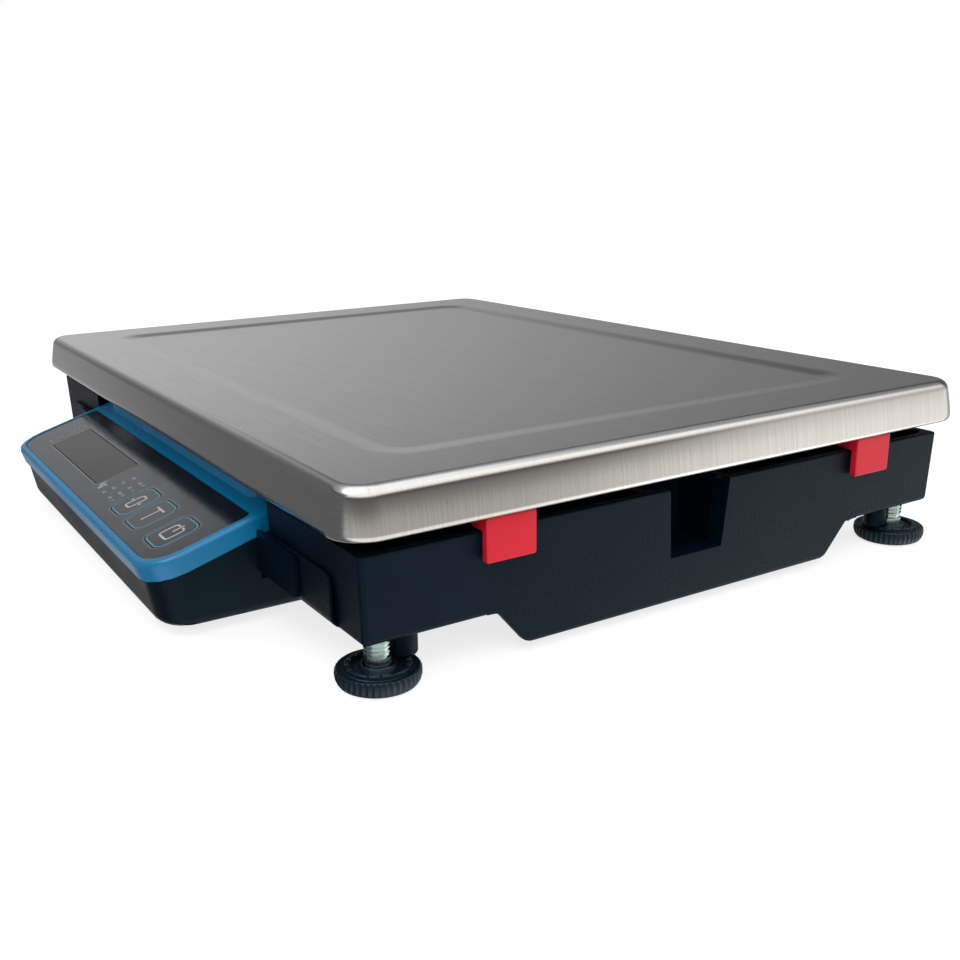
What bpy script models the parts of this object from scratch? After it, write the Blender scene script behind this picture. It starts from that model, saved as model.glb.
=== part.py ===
"""Low-profile bench scale with a folded steel platter on a cast tray and a sloping display in front.

Everything is built with the origin on the ground under the platter's centre: X to the right, Y away
from the display, Z up. At the end the whole scale is moved so that the origin lies under the middle
of its overall box. Sizes are in metres.
"""

import math

import bmesh
import bpy
from mathutils import Matrix, Vector

MM = 0.001

# Clearances
GAP = 0.3 * MM  # between pieces that touch
RUN = 0.4 * MM  # round a piece that slides in a hole

# Stack of heights, from the ground up
BASE_CLEARANCE = 18.4 * MM  # ground to the underside of the tray
BASE_HEIGHT = 31.4 * MM  # underside to the rim
PLATTER_GAP = 6.1 * MM  # rim to the platter's hem
SKIRT_HEIGHT = 17.3 * MM  # hem to the platter's top

# Platter
PLATTER_WIDTH = 400 * MM
PLATTER_DEPTH = 300 * MM
PLATTER_SHEET = 1.2 * MM
PLATTER_CORNER = 14 * MM
PLATTER_FOLD = 4.5 * MM  # outer radius along the top edges
PLATTER_FLARE = 1.9 * MM  # the skirt leans out by this much
HEM_WIDTH = 2.6 * MM
HEM_HEIGHT = 3.0 * MM
FIELD_INSET = 28.5 * MM  # edge to the pressed field in the top
FIELD_DROP = 0.5 * MM
FIELD_SLOPE = 16 * MM  # run of the soft step down
FIELD_CORNER = 17 * MM

# Cast base tray
BASE_WIDTH = 387.2 * MM
BASE_DEPTH = 284.1 * MM
BASE_WALL = 4 * MM
BASE_FLOOR = 3.8 * MM
BASE_DRAFT = 1.0 * MM  # lean of each wall over the base height
BASE_CORNER = 2.4 * MM
BOTTOM_ROUND = 2 * MM
RIM_ROUND = 0.8 * MM
KEEL_DROP = 14.6 * MM  # below the underside of the tray
KEEL_WIDTH = 5 * MM  # from the wall's face inwards
KEEL_LENGTH = 153 * MM  # along the bottom
KEEL_SLOPE = 12.5 * MM  # run of each sloping end
KEEL_ROUND = 2 * MM
KEEL_PROUD = 0.05 * MM  # past the wall's face
RIB_THICK = 2.5 * MM
RIB_HEIGHT = 6 * MM
RIB_X = 112 * MM
RIB_Y = 62 * MM

# Hand notch in the middle of each side wall
NOTCH_CENTRE_Y = 1.8 * MM
NOTCH_WIDTH = 26 * MM  # at the bottom
NOTCH_SPREAD = 2.1 * MM  # each flank leans out by this much up to the rim
NOTCH_LIP = 8.8 * MM  # depth of the flanks
POCKET_DEPTH = 33 * MM  # from the outer wall
POCKET_WIDTH = 38 * MM
POCKET_STEP = 2.6 * MM  # pocket floor below the notch sill
POCKET_SKIN = 3.5 * MM
POCKET_FLOOR = 2.4 * MM
POCKET_TOP_DROP = 2 * MM

# Red transport clips on the rim
CLIP_LENGTH = 20.2 * MM
CLIP_THICK = 3.5 * MM
CLIP_DROP = 10.6 * MM  # reaches this far below the rim
CLIP_TONGUE = 6.5 * MM  # reaches this far in from the wall's face
CLIP_FRONT_Y = -86.8 * MM
CLIP_REAR_Y = 94.9 * MM
CLIP_ROUND = 0.9 * MM

# Levelling feet
FOOT_INSET_X = 11.7 * MM  # from the wall's face
FOOT_INSET_Y = 11.15 * MM
DISC_RADIUS = 14.9 * MM
DISC_HEIGHT = 6.2 * MM
DISC_FLUTES = 22
FLUTE_DEPTH = 0.5 * MM
DISC_RING_RADIUS = 11.6 * MM
DISC_RING_WIDTH = 1.9 * MM
DISC_RING_HEIGHT = 1.1 * MM
DISC_DISH = 1.6 * MM
DISC_SOLE = 1.6 * MM  # under the stud's end
STUD_RADIUS = 4.85 * MM
STUD_LENGTH = 34 * MM
FOOT_BOSS_RADIUS = 9 * MM
FOOT_BOSS_HEIGHT = 18 * MM  # above the floor's underside
POST_RADIUS = 4.7 * MM
POST_CLEARANCE = 0.75 * MM  # above the foot's ring

# Load cell and spider
CELL_LENGTH = 150 * MM
CELL_WIDTH = 40 * MM
CELL_HEIGHT = 24 * MM
CELL_BOSS_HEIGHT = 4.8 * MM  # above the tray floor
CELL_END = 36 * MM  # clamped length at each end
CELL_BORE_RADIUS = 7.5 * MM
CELL_BORE_PITCH = 24 * MM
CELL_SLOT = 5 * MM
CELL_SCREW_OFFSETS = (10 * MM, 28 * MM)  # from the cell's end
SPACER_THICK = 2.35 * MM
SPIDER_PLATE = 4 * MM
SPIDER_PLATE_WIDTH = 60 * MM
SPIDER_PLATE_LENGTH = 172 * MM
SPIDER_PAD_X = 140 * MM
SPIDER_PAD_Y = 95 * MM
SPIDER_PAD_RADIUS = 13 * MM
SPIDER_PAD_THICK = 6 * MM
SPIDER_ARM_START = (36 * MM, 14 * MM)
SPIDER_ARM_ROOT = 22 * MM
SPIDER_ARM_TIP = 18 * MM
SPIDER_RIB = 3 * MM
SPIDER_RIB_HEIGHT = 4 * MM
BUFFER_RADIUS = 8 * MM
BUFFER_STEM = 4 * MM
STOP_GAP = 0.8 * MM
STOP_TOWER_RADIUS = 7.5 * MM
STOP_TOWER_HEIGHT = 14 * MM  # above the tray floor

# Fasteners: shank radius, head radius, head height
CELL_SCREW = (3 * MM, 5 * MM, 2.6 * MM)
STOP_SCREW = (3 * MM, 5.6 * MM, 4 * MM)
BRACKET_SCREW = (2.5 * MM, 4.4 * MM, 2.2 * MM)
HOUSING_SCREW = (1.5 * MM, 3 * MM, 2 * MM)

# Display unit
DISPLAY_TILT = math.radians(17)
DISPLAY_DROP = 5.3 * MM  # rim down to the panel's top where it crosses the front wall
DISPLAY_REACH = 48.5 * MM  # along the slope, in front of the wall
DISPLAY_TAIL = 14 * MM  # along the slope, behind the wall's face
DISPLAY_CORNER = 15 * MM
BEZEL_DEPTH = 8 * MM
BEZEL_WALL = 2.4 * MM
BEZEL_PANEL = 2.2 * MM
BEZEL_ROUND = 1.8 * MM
LABEL_BORDER = 3.7 * MM
LABEL_REAR = 3.8 * MM  # in front of the wall's face, along the slope
LABEL_THICK = 0.6 * MM
LABEL_SUNK = 0.35 * MM
LABEL_CORNER = 12 * MM
RISER_WIDTH = 200 * MM
RISER_SETBACK = 1.75 * MM  # behind the wall's face
RISER_DEPTH = 11 * MM
RISER_TOP = 1.2 * MM  # above the platter's hem
RISER_CORNER = 5 * MM

# The board sets the length of the display unit round it
BOARD_LENGTH = 196 * MM
TOWER_RADIUS = 4.8 * MM
TOWER_CLEARANCE = 5 * MM  # board to screw tower
TOWER_TO_SIDE = 7.8 * MM  # tower's middle to the bezel's side
TOWER_X = BOARD_LENGTH / 2 + TOWER_CLEARANCE + TOWER_RADIUS
DISPLAY_WIDTH = 2 * (TOWER_X + TOWER_TO_SIDE)

KEY_OFFSETS = {"key_zero": 52.6 * MM, "key_tare": 31.8 * MM, "key_power": 5.6 * MM}  # from the board's end
KEY_CENTRES = {name: BOARD_LENGTH / 2 - offset for name, offset in KEY_OFFSETS.items()}
KEY_WIDTH = 17.6 * MM
KEY_LENGTH = 18.8 * MM
KEY_REAR = 19.8 * MM
KEY_CORNER = 4.5 * MM
KEY_FLANGE = 1.2 * MM
KEY_FLANGE_THICK = 1.2 * MM
KEY_TRAVEL_ROOM = 0.9 * MM

# The window takes the length that the board leaves beside the keys
LCD_MARGIN = 15.1 * MM  # from the board's other end
LCD_TO_KEYS = 42.9 * MM  # to the middle of the first key
LCD_LENGTH = BOARD_LENGTH - LCD_MARGIN - LCD_TO_KEYS - KEY_OFFSETS["key_zero"]
LCD_CENTRE_X = LCD_MARGIN + (LCD_LENGTH - BOARD_LENGTH) / 2
LCD_REAR = 14.7 * MM  # in front of the wall's face, along the slope
LCD_DEPTH = 20.3 * MM
LCD_CORNER = 0.8 * MM
LCD_MODULE_BORDER = 4 * MM
LCD_MODULE_THICK = 3.6 * MM

BOARD_DEPTH = 33 * MM
BOARD_REAR = 10 * MM
BOARD_THICK = 1.6 * MM
BOARD_POST_RADIUS = 2.4 * MM
PLUG_SIZE = (9 * MM, 5 * MM, 3.4 * MM)
CELL_PLUG_X = 27 * MM
POWER_PLUG_X = 15 * MM

HOUSING_INSET = 1.3 * MM  # inside the bezel's outline
HOUSING_WALL = 2.6 * MM
HOUSING_CLEARANCE = 4.3 * MM  # above the ground
HOUSING_LEAN = 0.18  # the front face runs back this much for each unit of height
HOUSING_SIDE_LEAN = 0.04
HOUSING_FRONT_CORNER = 13 * MM
HOUSING_BOTTOM_ROUND = 4 * MM
HOUSING_TAIL = 30 * MM  # reaches this far under the tray
EAR_WIDTH = 34 * MM  # past the bezel's side
EAR_THICK = 1.6 * MM
EAR_DROP = 11.7 * MM  # rim down to the ear's top
EAR_HEIGHT = 16 * MM
TOWER_SLOPE_POSITIONS = (13 * MM, 32 * MM)  # in front of the wall's face
TOWER_SCREW_LENGTH = 14 * MM
TOWER_SCREW_GRIP = 4 * MM

# Sheet bracket that carries the display on the tray
BRACKET_SHEET = 1.2 * MM
BRACKET_INSET = 20.1 * MM  # from the tray's side wall
BRACKET_WIDTH = BASE_WIDTH - 2 * BRACKET_INSET
BRACKET_LEG = 30 * MM  # sunk into the underside of the tray
BRACKET_CORNER = 4 * MM
BRACKET_BEND = 4 * MM  # inside radius
BRACKET_STRIP = (BRACKET_WIDTH - DISPLAY_WIDTH) / 2  # beside the display
BRACKET_SCREW_SHARES = (0.21, 0.73)  # of the strip, from the display outwards
BRACKET_BOSS_RADIUS = 4.6 * MM
BRACKET_BOSS_HEIGHT = 4 * MM  # above the tray floor

# Opening in the front wall for the display's neck
NECK_SIDE = 3.8 * MM  # wider than the bezel by this much at each side
NECK_SILL = 2.2 * MM  # below the bezel's underside

# Cables and inlet
CABLE_RADIUS = 1.6 * MM
CABLE_RUN = 15 * MM  # from the cell's end to the cable's run along the tray
CABLE_BEND = 20 * MM  # room for each wide turn
CABLE_RISE = 1.5 * MM  # above the neck's sill
INLET_X = -118 * MM
INLET_RADIUS = 5.5 * MM
INLET_FLANGE = 7.2 * MM
INLET_LENGTH = 13 * MM

# Derived levels
BASE_BOTTOM = BASE_CLEARANCE
RIM = BASE_BOTTOM + BASE_HEIGHT
HEM = RIM + PLATTER_GAP
PLATTER_TOP = HEM + SKIRT_HEIGHT
PLATTER_UNDERSIDE = PLATTER_TOP - FIELD_DROP - PLATTER_SHEET
FLOOR_TOP = BASE_BOTTOM + BASE_FLOOR
LEG_TOP = BASE_BOTTOM + BRACKET_SHEET
HALF_X = BASE_WIDTH / 2
HALF_Y = BASE_DEPTH / 2
FRONT = -HALF_Y
CELL_BOTTOM = FLOOR_TOP + CELL_BOSS_HEIGHT + GAP
CELL_TOP = CELL_BOTTOM + CELL_HEIGHT
SPACER_BOTTOM = CELL_TOP + GAP
SPIDER_BOTTOM = SPACER_BOTTOM + SPACER_THICK + GAP
SPIDER_TOP = SPIDER_BOTTOM + SPIDER_PLATE
PAD_TOP = SPIDER_BOTTOM + SPIDER_PAD_THICK
PAD_SEAT = PAD_TOP - 0.5 * MM
FOOT_X = HALF_X - FOOT_INSET_X
FOOT_Y = HALF_Y - FOOT_INSET_Y
DISC_TOP = DISC_HEIGHT + DISC_RING_HEIGHT
PANEL_UNDER = -(LABEL_SUNK + LABEL_THICK + GAP + BEZEL_PANEL)
MODULE_TOP = PANEL_UNDER - GAP
BOARD_TOP = MODULE_TOP - LCD_MODULE_THICK - GAP
SCREW_STEPS = 14
PAD_STEPS = 20  # round the spider's pads

FINISHES = {
    "steel": ((0.52, 0.51, 0.49), 0.32, 1.0),
    "casting": ((0.018, 0.026, 0.032), 0.62, 0.0),
    "aluminium": ((0.62, 0.63, 0.64), 0.42, 1.0),
    "zinc": ((0.60, 0.66, 0.70), 0.28, 1.0),
    "red": ((0.66, 0.022, 0.045), 0.42, 0.0),
    "blue": ((0.016, 0.19, 0.42), 0.38, 0.0),
    "black": ((0.012, 0.018, 0.024), 0.48, 0.0),
    "label": ((0.10, 0.10, 0.105), 0.30, 0.0),
    "window": ((0.09, 0.09, 0.092), 0.12, 0.0),
    "rubber": ((0.02, 0.02, 0.02), 0.8, 0.0),
    "board": ((0.02, 0.16, 0.07), 0.45, 0.0),
    "cable": ((0.03, 0.03, 0.032), 0.55, 0.0),
}


def clear_scene():
    for obj in list(bpy.data.objects):
        bpy.data.objects.remove(obj, do_unlink=True)


def new_collection(name):
    made = bpy.data.collections.new(name)
    bpy.context.scene.collection.children.link(made)
    return made


clear_scene()
PARTS = new_collection("bench_scale")
CUTTERS = new_collection("bench_scale_cutters")


def empty(name, parent=None, location=(0, 0, 0), turn_x=0.0):
    made = bpy.data.objects.new(name, None)
    made.empty_display_size = 20 * MM
    PARTS.objects.link(made)
    made.parent = parent
    made.location = location
    made.rotation_euler = (turn_x, 0, 0)
    return made


SCALE = empty("scale_origin")
PANEL = empty("panel_origin", SCALE, (0, FRONT, RIM - DISPLAY_DROP), DISPLAY_TILT)


def material(name, finish):
    colour, roughness, metallic = FINISHES[finish]
    made = bpy.data.materials.new(name)
    made.use_nodes = True
    shader = made.node_tree.nodes["Principled BSDF"]
    shader.inputs["Base Color"].default_value = (*colour, 1)
    shader.inputs["Roughness"].default_value = roughness
    shader.inputs["Metallic"].default_value = metallic
    made.diffuse_color = (*colour, 1)
    return made


def place(name, mesh, collection, parent, location):
    made = bpy.data.objects.new(name, mesh)
    collection.objects.link(made)
    made.parent = parent
    made.location = location
    return made


def piece(name, mesh, finish, parent=SCALE, location=(0, 0, 0), smooth=0.6):
    """One sub-part of the scale, with its own material."""
    mesh.name = name
    mesh.materials.clear()
    mesh.materials.append(material(name, finish))
    mesh.shade_smooth()
    mesh.set_sharp_from_angle(angle=smooth)
    return place(name, mesh, PARTS, parent, location)


def helper(name, mesh, parent=SCALE, location=(0, 0, 0)):
    """A shape that is only cut from, or joined to, a sub-part."""
    made = place(name, mesh, CUTTERS, parent, location)
    made.hide_render = True
    made.display_type = "WIRE"
    return made


def boolean(target, other, operation):
    step = target.modifiers.new(other.name, "BOOLEAN")
    step.operation = operation
    step.solver = "EXACT"
    step.object = other


def cut(target, mesh, name, parent=SCALE, location=(0, 0, 0)):
    boolean(target, helper(f"{target.name}_{name}", mesh, parent, location), "DIFFERENCE")


def add(target, mesh, name, parent=SCALE, location=(0, 0, 0)):
    boolean(target, helper(f"{target.name}_{name}", mesh, parent, location), "UNION")


def soften(target, width, segments=2, angle=0.7):
    step = target.modifiers.new("soft_edges", "BEVEL")
    step.width = width
    step.segments = segments
    step.limit_method = "ANGLE"
    step.angle_limit = angle
    step.use_clamp_overlap = True


def finished(shape):
    """A mesh from a bmesh, with its faces pointing out."""
    bmesh.ops.recalc_face_normals(shape, faces=shape.faces)
    mesh = bpy.data.meshes.new("shape")
    shape.to_mesh(mesh)
    shape.free()
    return mesh


def block(low, high):
    """A box between two corners."""
    low, high = Vector(low), Vector(high)
    shape = bmesh.new()
    bmesh.ops.create_cube(shape, size=1.0)
    bmesh.ops.scale(shape, vec=high - low, verts=shape.verts)
    bmesh.ops.translate(shape, vec=(low + high) / 2, verts=shape.verts)
    return finished(shape)


def cylinder(radius, low, high, steps=SCREW_STEPS, tip_radius=None):
    """An upright cylinder or cone between two heights."""
    shape = bmesh.new()
    bmesh.ops.create_cone(
        shape,
        cap_ends=True,
        segments=steps,
        radius1=radius,
        radius2=radius if tip_radius is None else tip_radius,
        depth=high - low,
    )
    bmesh.ops.translate(shape, vec=(0, 0, (low + high) / 2), verts=shape.verts)
    return finished(shape)


def fillet_path(corners, steps=4):
    """A closed outline through corners (x, y, radius), each rounded by an arc."""
    outline = []
    for index, (x, y, radius) in enumerate(corners):
        here = Vector((x, y))
        if radius <= 0:
            outline.append((x, y))
            continue
        before = (Vector(corners[index - 1][:2]) - here).normalized()
        after = (Vector(corners[(index + 1) % len(corners)][:2]) - here).normalized()
        half = before.angle(after) / 2
        centre = here + (before + after).normalized() * (radius / math.sin(half))
        start = here + before * (radius / math.tan(half)) - centre
        end = here + after * (radius / math.tan(half)) - centre
        first = math.atan2(start.y, start.x)
        sweep = (math.atan2(end.y, end.x) - first + math.pi) % (2 * math.pi) - math.pi
        for step in range(steps + 1):
            angle = first + sweep * step / steps
            outline.append((centre.x + radius * math.cos(angle), centre.y + radius * math.sin(angle)))
    return outline


def rounded_rect(x0, y0, x1, y1, front, rear=None, steps=4):
    """A rounded rectangle, with one radius at its -Y corners and another at its +Y corners."""
    rear = front if rear is None else rear
    return fillet_path([(x1, y0, front), (x1, y1, rear), (x0, y1, rear), (x0, y0, front)], steps)


def plate(outline, thickness):
    """A flat sheet of this outline in the XY plane, with its middle at height 0."""
    curve = bpy.data.curves.new("outline", "CURVE")
    curve.dimensions = "2D"
    curve.fill_mode = "BOTH"
    curve.extrude = thickness / 2
    spline = curve.splines.new("POLY")
    spline.points.add(len(outline) - 1)
    for point, (x, y) in zip(spline.points, outline):
        point.co = (x, y, 0, 1)
    spline.use_cyclic_u = True
    drawn = bpy.data.objects.new("outline", curve)
    CUTTERS.objects.link(drawn)
    graph = bpy.context.evaluated_depsgraph_get()
    mesh = bpy.data.meshes.new_from_object(drawn.evaluated_get(graph))
    bpy.data.objects.remove(drawn, do_unlink=True)
    bpy.data.curves.remove(curve)
    shape = bmesh.new()
    shape.from_mesh(mesh)
    bmesh.ops.remove_doubles(shape, verts=shape.verts, dist=1e-6)
    bpy.data.meshes.remove(mesh)
    return finished(shape)


def level_plate(outline, low, high):
    """A flat sheet lying between two heights."""
    mesh = plate(outline, high - low)
    mesh.transform(Matrix.Translation((0, 0, (low + high) / 2)))
    return mesh


def side_plate(outline, low, high):
    """A solid of this Y-Z outline between two X positions."""
    mesh = plate(outline, high - low)
    upright = Matrix(((0, 0, 1, (low + high) / 2), (1, 0, 0, 0), (0, 1, 0, 0), (0, 0, 0, 1)))
    mesh.transform(upright)
    return mesh


def front_plate(outline, low, high):
    """A solid of this X-Z outline between two Y positions."""
    mesh = plate(outline, high - low)
    upright = Matrix(((1, 0, 0, 0), (0, 0, -1, (low + high) / 2), (0, 1, 0, 0), (0, 0, 0, 1)))
    mesh.transform(upright)
    return mesh


def loft(rings):
    """A solid through rings of equally many points, with a face over the first and the last."""
    shape = bmesh.new()
    loops = [[shape.verts.new(point) for point in ring] for ring in rings]
    for lower, upper in zip(loops, loops[1:]):
        for index in range(len(lower)):
            after = (index + 1) % len(lower)
            shape.faces.new((lower[index], lower[after], upper[after], upper[index]))
    shape.faces.new(loops[0])
    shape.faces.new(loops[-1])
    return finished(shape)


def turned(name, profile, finish, steps, parent=SCALE, location=(0, 0, 0)):
    """A turned piece: its profile runs down the outer side, from the axis back to the axis."""
    shape = bmesh.new()
    points = [shape.verts.new((radius, 0, height)) for radius, height in profile]
    for first, second in zip(points, points[1:]):
        shape.edges.new((first, second))
    mesh = bpy.data.meshes.new(name)
    shape.to_mesh(mesh)
    shape.free()
    made = piece(name, mesh, finish, parent, location)
    screw = made.modifiers.new("turn", "SCREW")
    screw.steps = steps
    screw.render_steps = steps
    screw.use_merge_vertices = True
    screw.merge_threshold = 0.00001
    screw.use_smooth_shade = True
    return made


def tube(name, route, radius, finish):
    """A cable along a smooth curve through the points of its route."""
    points = [Vector(point) for point in route]
    padded = [2 * points[0] - points[1], *points, 2 * points[-1] - points[-2]]
    curve = bpy.data.curves.new(name, "CURVE")
    curve.dimensions = "3D"
    curve.bevel_depth = radius
    curve.bevel_resolution = 2
    curve.use_fill_caps = True
    smooth = []
    for a, b, c, d in zip(padded, padded[1:], padded[2:], padded[3:]):
        for t in (0, 1 / 3, 2 / 3):
            bend, twist = 2 * a - 5 * b + 4 * c - d, 3 * b - a - 3 * c + d
            smooth.append((2 * b + (c - a) * t + bend * t**2 + twist * t**3) / 2)
    smooth.append(points[-1])
    spline = curve.splines.new("POLY")
    spline.points.add(len(smooth) - 1)
    for point, place_at in zip(spline.points, smooth):
        point.co = (*place_at, 1)
    made = bpy.data.objects.new(name, curve)
    curve.materials.append(material(name, finish))
    PARTS.objects.link(made)
    made.parent = SCALE
    return made


def fastener(name, size, head_low, shank_end, finish, location, parent=SCALE, head_steps=SCREW_STEPS):
    """A screw whose head starts at head_low. Its shank runs to shank_end, above or below the head."""
    shank, head, height = size
    made = piece(name, cylinder(head, head_low, head_low + height, head_steps), finish, parent, location)
    middle = head_low + height / 2
    low, high = sorted((middle, shank_end))
    add(made, cylinder(shank, low, high, 12), "shank", parent, location)
    return made


def corner_signs():
    """The four corners as a name and the signs of X and Y."""
    return (
        ("front_right", 1, -1),
        ("front_left", -1, -1),
        ("rear_right", 1, 1),
        ("rear_left", -1, 1),
    )


def platter():
    """A folded sheet: underside field, inner skin, hem, skirt, rounded fold and pressed top field."""
    half_x, half_y = PLATTER_WIDTH / 2, PLATTER_DEPTH / 2

    def ring(inset, height, radius=None):
        radius = radius or max(PLATTER_CORNER - inset, 2 * MM)
        low, high = (-half_x + inset, -half_y + inset), (half_x - inset, half_y - inset)
        return [(x, y, height) for x, y in rounded_rect(*low, *high, radius, steps=6)]

    def field(skin, steps):
        """The soft step down to the pressed field, from its outer edge inwards."""
        for step in range(steps + 1):
            share = step / steps
            drop = FIELD_DROP * share * share * (3 - 2 * share)
            yield FIELD_INSET + FIELD_SLOPE * share, skin - drop, FIELD_CORNER * (1 - share / 2)

    def fold(radius, skin):
        """Insets and heights round the top fold, from the skirt to the top."""
        for step in range(5):
            angle = math.pi / 2 * step / 4
            inset = PLATTER_FLARE + PLATTER_FOLD - radius * math.cos(angle)
            yield inset, PLATTER_TOP - PLATTER_FOLD + radius * math.sin(angle) - skin

    top_inner = PLATTER_TOP - PLATTER_SHEET
    inner_fold = PLATTER_FOLD - PLATTER_SHEET
    inner = [
        *reversed(list(field(top_inner, 2))),
        *reversed(list(fold(inner_fold, 0))),
        (PLATTER_SHEET, HEM + HEM_HEIGHT + HEM_WIDTH - PLATTER_SHEET),
        (HEM_WIDTH, HEM + HEM_HEIGHT),
        (HEM_WIDTH, HEM + RIM_ROUND / 2),
        (HEM_WIDTH - RIM_ROUND / 2, HEM),
    ]
    outer = [
        (RIM_ROUND / 2, HEM),
        (0, HEM + RIM_ROUND / 2),
        (0.1 * MM, HEM + HEM_HEIGHT),
        *fold(PLATTER_FOLD, 0),
        *field(PLATTER_TOP, 5),
    ]
    piece("platter", loft([ring(*place_at) for place_at in inner + outer]), "steel")


def wall_lean(height):
    """How far the drafted walls stand back at this height."""
    return BASE_DRAFT * (RIM - height) / BASE_HEIGHT


def base_shell():
    """The outer form of the tray: drafted walls, a rounded bottom edge and a rounded rim."""
    levels = []
    for step in range(5):
        angle = math.pi / 2 * step / 4
        height = BASE_BOTTOM + BOTTOM_ROUND * (1 - math.cos(angle))
        levels.append((wall_lean(height) + BOTTOM_ROUND * (1 - math.sin(angle)), height))
    levels += [(0, RIM - RIM_ROUND), (0.3 * RIM_ROUND, RIM - 0.3 * RIM_ROUND), (RIM_ROUND, RIM)]
    rings = []
    for inset, height in levels:
        radius = max(BASE_CORNER - inset / 2, 1 * MM)
        outline = rounded_rect(-HALF_X + inset, -HALF_Y + inset, HALF_X - inset, HALF_Y - inset, radius)
        rings.append([(x, y, height) for x, y in outline])
    return loft(rings)


def keel(side):
    """The wall of one side carried on below the tray: sloping ends, a rounded edge, the same lean."""
    top = BASE_BOTTOM + BOTTOM_ROUND + 1 * MM
    bottom = BASE_BOTTOM - KEEL_DROP
    foot, shoulder = KEEL_LENGTH / 2, KEEL_LENGTH / 2 + KEEL_SLOPE
    half_outline = [
        (shoulder + 7 * MM, top, 0),
        (shoulder + 5 * MM, BASE_BOTTOM + 0.5 * MM, 0),
        (shoulder, BASE_BOTTOM + 0.3 * MM, 5 * MM),
        (foot, bottom, 5 * MM),
    ]
    mirrored = [(-y, z, radius) for y, z, radius in reversed(half_outline)]
    mesh = side_plate(fillet_path(half_outline + mirrored), HALF_X - KEEL_WIDTH, HALF_X + KEEL_PROUD)
    shape = bmesh.new()
    shape.from_mesh(mesh)
    bpy.data.meshes.remove(mesh)
    bmesh.ops.dissolve_limit(shape, angle_limit=0.01, verts=shape.verts, edges=shape.edges)
    outer = HALF_X + KEEL_PROUD

    def rounded(edge):
        ends = [vert.co for vert in edge.verts]
        on_face = all(abs(end.x - outer) < 1e-6 for end in ends)
        return on_face and max(end.z for end in ends) < BASE_BOTTOM + 0.1 * MM

    edges = [edge for edge in shape.edges if rounded(edge)]
    bmesh.ops.bevel(shape, geom=edges, offset=KEEL_ROUND, segments=3, profile=0.5, affect="EDGES")
    for vert in shape.verts:
        if vert.co.x > HALF_X - KEEL_WIDTH / 2:
            vert.co.x -= wall_lean(vert.co.z)
        vert.co.x *= side
    return finished(shape)


def tray_cavity():
    """The room inside the tray, with a chamfer that rounds the rim's inner edge."""
    half_x = HALF_X - BASE_WALL - BASE_DRAFT
    half_y = HALF_Y - BASE_WALL - BASE_DRAFT
    levels = [
        (2 * MM, FLOOR_TOP),
        (0, FLOOR_TOP + 2 * MM),
        (-BASE_DRAFT, RIM - RIM_ROUND),
        (-BASE_DRAFT - RIM_ROUND, RIM),
        (-BASE_DRAFT - RIM_ROUND, RIM + 5 * MM),
    ]
    rings = []
    for inset, height in levels:
        outline = rounded_rect(-half_x + inset, -half_y + inset, half_x - inset, half_y - inset, 5 * MM)
        rings.append([(x, y, height) for x, y in outline])
    return loft(rings)


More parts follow.
